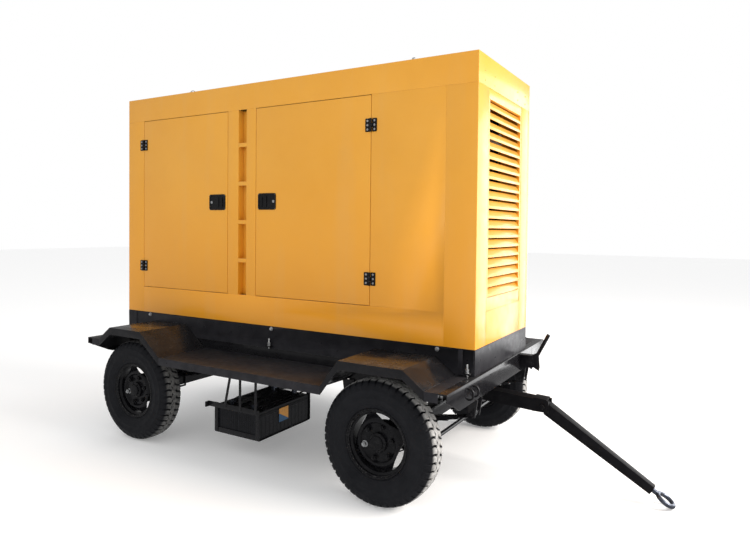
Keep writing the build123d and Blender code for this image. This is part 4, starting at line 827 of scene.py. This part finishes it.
def dress_hinges():
    """The fixed hinge leaves on the canopy, with their screws and the bright pins."""
    leaves, bright = bmesh.new(), bmesh.new()
    for side in SIDES.values():
        for _, _, axis_x, way in DOORS.values():
            for z in HINGES_Z:
                hinge_leaf(leaves, axis_x, -way, z, side, True)
                hinge_screws(bright, axis_x, -way, z, side)
                turned(bright, pt(axis_x, side * (CANOPY_HALF_W + 9), z - 48), (0, 0, 1),
                       [(0, 0.003), (0.001, 0.004), (0.095, 0.004), (0.096, 0.003)], 14)
    place("hinge_leaves", sorted_out(leaves), "trailer", "latch_black", "door_hinges")
    place("hinge_screws", sorted_out(bright), "trailer", "bright_steel", "door_hinges")


for door_name in DOORS:
    for door_hand in SIDES:
        dress_door(door_name, door_hand)
dress_hinges()


# -------------------- bolts on the base

def base_hardware():
    """Bright cap bolts along the base's top edge, and tall hold-down studs by its foot."""
    bm, lugs = bmesh.new(), bmesh.new()
    for side in SIDES.values():
        y = side * CANOPY_HALF_W
        for x in CAP_BOLTS_X:
            turned(bm, pt(x, y, CAP_BOLT_Z), (0, side, 0), [(0, 0.016), (0.002, 0.0155)])
            nut(bm, pt(x, y + side * 2, CAP_BOLT_Z), (0, side, 0), 0.022, 0.010)
        foot, top = STUD_LUG_Z
        for x in STUDS_X:
            low, high = sorted((y, y + side * 2 * STUD_OUT))
            brick(lugs, pt(x - 26, low, foot), pt(x + 26, high, top))
            stud_y = y + side * STUD_OUT
            turned(bm, pt(x, stud_y, BASE_Z + 1), (0, 0, 1),
                   [(0, 0.0075), (0.078, 0.0075), (0.080, 0.0065)], 16)
            turned(bm, pt(x, stud_y, top), (0, 0, 1), [(0, 0.0155), (0.003, 0.0155)])
            nut(bm, pt(x, stud_y, top + 3), (0, 0, 1), 0.024, 0.014)
            nut(bm, pt(x, stud_y, top + 17), (0, 0, 1), 0.024, 0.009)
    place("bolts_bright", sorted_out(bm), "trailer", "bright_steel", "base_bolts")
    edge_bevel(sorted_out(lugs), 1.2 * MM)
    place("bolt_lugs", lugs, "trailer", "chassis_black", "base_bolts")


base_hardware()


# -------------------- batteries

def battery(cases, lead, caps, x0):
    """One battery with a ribbed case, a stepped lid, six caps and two posts."""
    x1 = x0 + BATTERY_W
    y0, y1 = CRADLE_Y[0] + 8, CRADLE_Y[1] - 8
    z0 = BATTERY_FLOOR
    box = bmesh.new()
    brick(box, pt(x0, y0, z0), pt(x1, y1, z0 + BATTERY_H))
    brick(box, pt(x0 - 1, y0 - 1, z0 + BATTERY_H + 2), pt(x1 + 1, y1 + 1, z0 + LID_TOP))
    brick(box, pt(x0 + 26, y0 + 90, z0 + LID_TOP - 2), pt(x1 - 26, y1 - 90, z0 + LID_TOP + 10))
    rib_foot, rib_top = z0 + 8, z0 + BATTERY_H - 6
    for y in (y0, y1):
        for x in range(x0 + 18, x1 - 10, 22):
            brick(box, pt(x, y - 2, rib_foot), pt(x + 8, y + 2, rib_top))
    for x in (x0, x1):
        for i in range(13):
            y = y0 + 30 + i * 44
            brick(box, pt(x - 2, y, rib_foot), pt(x + 2, y + 14, rib_top))
        brick(box, pt(x - 3, y0 + 10, z0 + 160), pt(x + 3, y1 - 10, z0 + 172))
    edge_bevel(sorted_out(box), 1.5 * MM, 1)
    absorb(cases, box)
    for i in range(6):
        turned(caps, pt((x0 + x1) / 2 - 40, y0 + 130 + i * 68, z0 + LID_TOP + 10), (0, 0, 1),
               [(0, 0.016), (0.007, 0.016), (0.009, 0.0145), (0.0092, 0.010), (0.007, 0.009), (0.007, 0.001)])
    for y in (y0 + POST_IN, y1 - POST_IN):
        turned(lead, pt(x0 + POST_X, y, z0 + LID_TOP), (0, 0, 1),
               [(0, 0.014), (0.010, 0.0135), (0.030, 0.0090)], 20)
        clamp_z = z0 + LID_TOP + 14
        brick(lead, pt(x0 + POST_X - 15, y - 16, clamp_z), pt(x0 + POST_X + 15, y + 30, clamp_z + 12))
        nut(lead, pt(x0 + POST_X, y + 24, clamp_z + 12), (0, 0, 1), 0.013, 0.008)


def batteries():
    """Two batteries side by side in their cradle, with their leads, straps and a plain label."""
    cases, lead, caps, cables = (bmesh.new() for _ in range(4))
    first, second = CRADLE_X[0] + 6, CRADLE_X[0] + 10 + BATTERY_W
    battery(cases, lead, caps, first)
    battery(cases, lead, caps, second)
    y0, y1, top = CRADLE_Y[0] + 8 + POST_IN, CRADLE_Y[1] - 8 - POST_IN, BATTERY_FLOOR + LID_TOP + 30
    pipe(cables, [pt(first + POST_X, y0 + 20, top), pt(first + 150, y0 + 24, top + 30),
                  pt(second + 60, y0 + 24, top + 30), pt(second + POST_X, y0 + 20, top)], 0.009)
    for x in (first + POST_X, second + POST_X):
        pipe(cables, [pt(x, y1, top), pt(x, y1 + 60, top + 40), pt(x + 20, y1 + 110, 560),
                      pt(x + 30, y1 + 130, 790)], 0.009)
    place("battery_cases", cases, "trailer", "battery_black", "batteries")
    edge_bevel(sorted_out(lead), 0.8 * MM, 1)
    place("battery_posts", lead, "trailer", "forged_steel", "batteries")
    place("battery_caps", sorted_out(caps), "trailer", "battery_black", "batteries")
    place("battery_cables", sorted_out(cables), "trailer", "battery_black", "batteries", RUBBER_SEAL)
    patch = bmesh.new()
    x = second + BATTERY_W + 3.2
    foot, head = BATTERY_FLOOR + 75, BATTERY_FLOOR + 178
    loft(patch, [[pt(x + d, y, z) for y, z in ((-550, foot), (-440, foot), (-440, head), (-550, head))]
                 for d in (0, 0.6)])
    place("battery_label", sorted_out(patch), "trailer", "battery_black", "batteries", LABEL)
    strap = bmesh.new()
    strap_z = BATTERY_FLOOR + LID_TOP + 12
    for x in (first + 60, second + 150):
        brick(strap, pt(x, CRADLE_Y[0] + 2, strap_z), pt(x + 24, CRADLE_Y[1] - 2, strap_z + 4))
    edge_bevel(sorted_out(strap), 1.2 * MM, 1)
    place("battery_straps", strap, "trailer", "chassis_black", "batteries")


batteries()


# -------------------- things behind the doors

def control_face():
    """Dials, a screen, buttons, the stop's collar, screws and lamps on the control cabinet's face."""
    y = PANEL_Y
    out = (0, -1, 0)
    black, white, bright = (bmesh.new() for _ in range(3))
    meter = [(0, 0.038), (0.012, 0.038), (0.016, 0.035), (0.016, 0.031), (0.008, 0.030), (0.008, 0.001)]
    for i in range(3):
        x = -1340 + i * 92
        turned(black, pt(x, y + 1, METER_Z), out, meter, 36)
        turned(white, pt(x, y - 6, METER_Z), out, [(0, 0.029), (0.0022, 0.029)], 36)
        brick(black, pt(x - 1, y - 9.5, METER_Z - 12), pt(x + 1, y - 8.4, METER_Z + 18))
    screen = ((110, 62, 0), (110, 62, 8), (106, 58, 11), (84, 40, 11), (82, 38, 7))
    loft(black, [rounded(-1248, 1820, half_w, half_h, 6, y - lift) for half_w, half_h, lift in screen])
    for i in range(5):
        turned(black, pt(-1336 + i * 44, y, 1730), out, [(0, 0.012), (0.010, 0.012), (0.013, 0.009)], 20)
    turned(bright, pt(-1220, y, STOP_Z), out, [(0, 0.014), (0.008, 0.014), (0.010, 0.012), (0.010, 0.005)])
    for x in (-1390, -1070):
        for z in (1575, 2005):
            screw(bright, pt(x, y + 0.5, z), out, 0.005)
    place("panel_meters", sorted_out(black), "trailer", "latch_black")
    place("panel_dials", sorted_out(white), "trailer", "panel_grey", material=DIAL)
    place("panel_screws", sorted_out(bright), "trailer", "bright_steel")
    for name, x, material in (("run_lamp", -1340, GREEN_LAMP), ("fault_lamp", -1290, AMBER_LAMP)):
        bm = bmesh.new()
        turned(bm, pt(x, y, STOP_Z), out, [(0, 0.013), (0.006, 0.013), (0.012, 0.009), (0.014, 0.003)])
        place(name, sorted_out(bm), "trailer", "panel_grey", material=material)


def engine_dress():
    """Belt and pulleys, rocker cover nuts, injector lines, injection pump and coolant hoses."""
    belt, bright, hoses, pulleys = (bmesh.new() for _ in range(4))
    plane_x = FAN_X - 52
    path = []
    for y, z, r, first, last in BELT_WHEELS:
        rim, groove = r * MM, (r - 9) * MM
        turned(pulleys, pt(plane_x - 12, y, z), (1, 0, 0),
               [(0, rim), (0.006, rim), (0.012, groove), (0.018, rim), (0.024, rim), (0.024, 0.02)], 40)
        for i in range(9):
            a = math.radians(first + (last - first) * i / 8)
            path.append(pt(plane_x, y + (r - BELT_DEPTH) * math.cos(a), z + (r - BELT_DEPTH) * math.sin(a)))
    pipe(belt, path + path[:1], 0.006, 6, 1)
    span = (ENGINE_X[1] - ENGINE_X[0] - 40) / CYLINDERS
    for i in range(CYLINDERS):
        x = ENGINE_X[0] + 20 + span * (i + 0.5)
        for dx in (-46, 46):
            for dy in (-84, 84):
                nut(bright, pt(x + dx, dy, HEAD_Z + 70), (0, 0, 1), 0.013, 0.008)
        pipe(bright, [pt(x, -100, HEAD_Z + 30), pt(x, -205, HEAD_Z + 36),
                      pt(x - 20 * (i - 2.5), -240, HEAD_Z - 100), pt(330 + i * 26, -268, SHAFT_Z + 165)],
             0.0035, 8, 4)
    brick(pulleys, pt(300, -300, SHAFT_Z + 60), pt(500, -206, SHAFT_Z + 165))
    for z, y, end_z in ((2090, -190, SHAFT_Z + 380), (1075, 190, SHAFT_Z - 40)):
        pipe(hoses, [pt(1080, y, z), pt(1010, y, z), pt(940, y * 0.7, (z + SHAFT_Z + 300) / 2),
                     pt(850, y * 0.5, end_z)], 0.030, 18, 6)
    edge_bevel(sorted_out(pulleys), 1.5 * MM, 1, 50)
    place("engine_pulleys", pulleys, "trailer", "cast_grey", material=MATERIALS["engine_grey"])
    place("fan_belt", sorted_out(belt), "trailer", "fan_black", material=RUBBER_SEAL)
    place("injector_lines", sorted_out(bright), "trailer", "bright_steel")
    place("coolant_hoses", sorted_out(hoses), "trailer", "fan_black", material=RUBBER_SEAL)


def panel_foam():
    """Foam behind the fixed side panels, and small screws along both ends of the roof."""
    lining, bright = bmesh.new(), bmesh.new()
    for side in SIDES.values():
        y = side * (CANOPY_HALF_W - 12)
        loft(lining, [ring_points(925, 1440, 1215, 2620, y - side * d) for d in (0, 24)])
    edge_bevel(sorted_out(lining), 6 * MM, 3)
    place("panel_foam", lining, "trailer", "tank_black", material=FOAM)
    for y in (-430, -250, 250, 430):
        for z in (2750, 2690):
            for way in (1, -1):
                screw(bright, pt(way * CANOPY_HALF_L, y, z), (way, 0, 0), 0.006)
    place("roof_screws", sorted_out(bright), "trailer", "canopy_yellow")


control_face()
engine_dress()
panel_foam()


# -------------------- the other nodes, with softened edges

# how much each node's edges are rounded, in millimetres, where it isn't DEFAULT_EDGE
DEFAULT_EDGE = 1.0
EDGE_WIDTH = {
    "canopy_roof": 2.4, "canopy_posts": 1.2, "side_panels": 1.2, "front_end_panel": 1.5,
    "rear_end_panel": 1.5, "louvre_slats": 0.9, "step_rungs": 1.5, "generator_base": 2.0,
    "fenders": 2.0, "side_decks": 2.0, "chassis_rails": 2.0, "cross_members": 2.0,
    "engine_block": 5.0, "alternator_frame": 4.0, "radiator": 3.0, "battery_cradle": 1.5,
    "drawbar_arm": 3.0, "drawbar_pole": 3.0, "control_panel": 3.0, "tow_eye": 2.0,
}
# nodes whose pieces have a section or a function of their own
REBUILT = ("tyre_", "rim_", "hub_", "door_rear_", "door_front_", "door_hinges", "batteries", "base_bolts",
           "alternator_rotor")
OTHER_FINISH = {"tie_rod": MATERIALS["wheel_black"],
                "drawbar_pole": DRAWBAR_BLACK, "drawbar_arm": DRAWBAR_BLACK,
                "side_decks": SATIN_BLACK, "generator_base": SATIN_BLACK}
for node in frame["nodes"]:
    if not node.startswith(REBUILT):
        refine(node, EDGE_WIDTH.get(node, DEFAULT_EDGE), OTHER_FINISH.get(node))


ROTOR_SHAFT_R = 0.036
ROTOR_SHAFT_FIT = 0.98


def rotor():
    """The alternator's rotor, with its shaft a little slimmer than the bearing bore."""
    node = "alternator_rotor"
    bm = node_bmesh(node)
    centre = joint_at("alternator_spin")
    for vert in bm.verts:
        if math.hypot(vert.co.y - centre.y, vert.co.z - centre.z) < ROTOR_SHAFT_R:
            vert.co.y = centre.y + (vert.co.y - centre.y) * ROTOR_SHAFT_FIT
            vert.co.z = centre.z + (vert.co.z - centre.z) * ROTOR_SHAFT_FIT
    edge_bevel(bm, DEFAULT_EDGE * MM)
    place(node + "_finish", bm, BODY_OF[node], SLOT_OF[node], node)


rotor()


def paddle_grips():
    """Two upright finger ribs on every latch paddle."""
    for name, (_, _, _, way) in DOORS.items():
        for hand, side in SIDES.items():
            node = f"paddle_{name}_{hand}"
            y = side * (CANOPY_HALF_W + 1.5)
            bm = bmesh.new()
            for offset, half in ((52, 6), (10, 7)):
                x = LATCH_X[name] + way * offset
                loft(bm, [rounded(x, LATCH_Z, half - inset, 40 - inset, 4, y + side * out)
                          for out, inset in ((-1, 0), (4.0, 0), (5.5, 1.5))])
            place(f"{node}_grips", sorted_out(bm), BODY_OF[node], "latch_black")


paddle_grips()


# -------------------- floor, lights and camera

WHITE = (1.0, 1.0, 1.0)
FLOOR_GLOW = 0.17
WORLD_STRENGTH = 0.38
WORLD_GAIN = (("Is Camera Ray", 0.62), ("Is Diffuse Ray", 0.46))     # added to it for these rays
# name, watts, size, place, target, colour, and whether it shows in reflections
LAMPS = (("key", 770, 4.0, (7.55, 1.0, 5.0), (1.05, 0.0, 1.4), (1.0, 0.94, 0.88), True),
         ("end_window", 330, 6.0, (4.65, 7.6, 1.7), (1.05, 0.0, 1.3), WHITE, True),
         ("side_fill", 60, 5.0, (2.55, -9.0, 4.5), (0.65, 0.0, 1.4), (1.0, 0.99, 0.96), False))
CAMERA_AT = (2.5006, -4.1080, 1.7390)
CAMERA_YAW, CAMERA_PITCH, CAMERA_ROLL = (math.radians(turn) for turn in (119.953, -1.386, 0.616))
CAMERA_LENS = 28.622
CAMERA_SHIFT = (-0.0131, -0.0433)


def white_floor():
    """A wide white floor that glows a little and stays out of reflections."""
    bpy.ops.mesh.primitive_plane_add(size=80, location=(0, 0, 0))
    floor = bpy.context.object
    n = Nodes("studio_floor")
    floor.data.materials.append(n.done((0.93, 0.93, 0.93), 0.8, specular=0.1))
    n.shader.inputs["Emission Color"].default_value = (*WHITE, 1.0)
    n.shader.inputs["Emission Strength"].default_value = FLOOR_GLOW
    floor.visible_glossy = False


def white_world():
    """A white world that is brighter to the camera and to diffuse rays than in reflections."""
    world = bpy.data.worlds.new("studio")
    world.use_nodes = True
    tree = world.node_tree
    rays = tree.nodes.new("ShaderNodeLightPath")
    background = tree.nodes["Background"]
    background.inputs["Color"].default_value = (*WHITE, 1.0)
    total = None
    for ray, gain in WORLD_GAIN:
        step = tree.nodes.new("ShaderNodeMath")
        step.operation = "MULTIPLY_ADD"
        tree.links.new(rays.outputs[ray], step.inputs[0])
        step.inputs[1].default_value = gain
        if total is None:
            step.inputs[2].default_value = WORLD_STRENGTH
        else:
            tree.links.new(total, step.inputs[2])
        total = step.outputs[0]
    tree.links.new(total, background.inputs["Strength"])
    bpy.context.scene.world = world


def area_lamp(name, energy, size, at, target, color, seen_in_gloss):
    light = bpy.data.lights.new(name, "AREA")
    light.energy, light.size, light.color = energy, size, color
    lamp = bpy.data.objects.new(name, light)
    lamp.location = at
    lamp.rotation_euler = (Vector(target) - Vector(at)).to_track_quat("-Z", "Y").to_euler()
    lamp.visible_camera = False
    lamp.visible_glossy = seen_in_gloss
    bpy.context.scene.collection.objects.link(lamp)


def studio():
    bpy.context.scene.view_settings.view_transform = "Standard"
    white_floor()
    white_world()
    for lamp in LAMPS:
        area_lamp(*lamp)


def camera():
    """The photo's camera, solved from the canopy's corners."""
    data = bpy.data.cameras.new("camera")
    eye = bpy.data.objects.new("camera", data)
    bpy.context.scene.collection.objects.link(eye)
    turn = (Matrix.Rotation(CAMERA_YAW - math.pi / 2, 4, "Z")
            @ Matrix.Rotation(math.pi / 2 + CAMERA_PITCH, 4, "X")
            @ Matrix.Rotation(CAMERA_ROLL, 4, "Z"))
    eye.matrix_world = Matrix.Translation(CAMERA_AT) @ turn
    data.sensor_width = 36.0
    data.lens = CAMERA_LENS
    data.shift_x, data.shift_y = CAMERA_SHIFT
    data.clip_end = 200
    bpy.context.scene.camera = eye


studio()
camera()
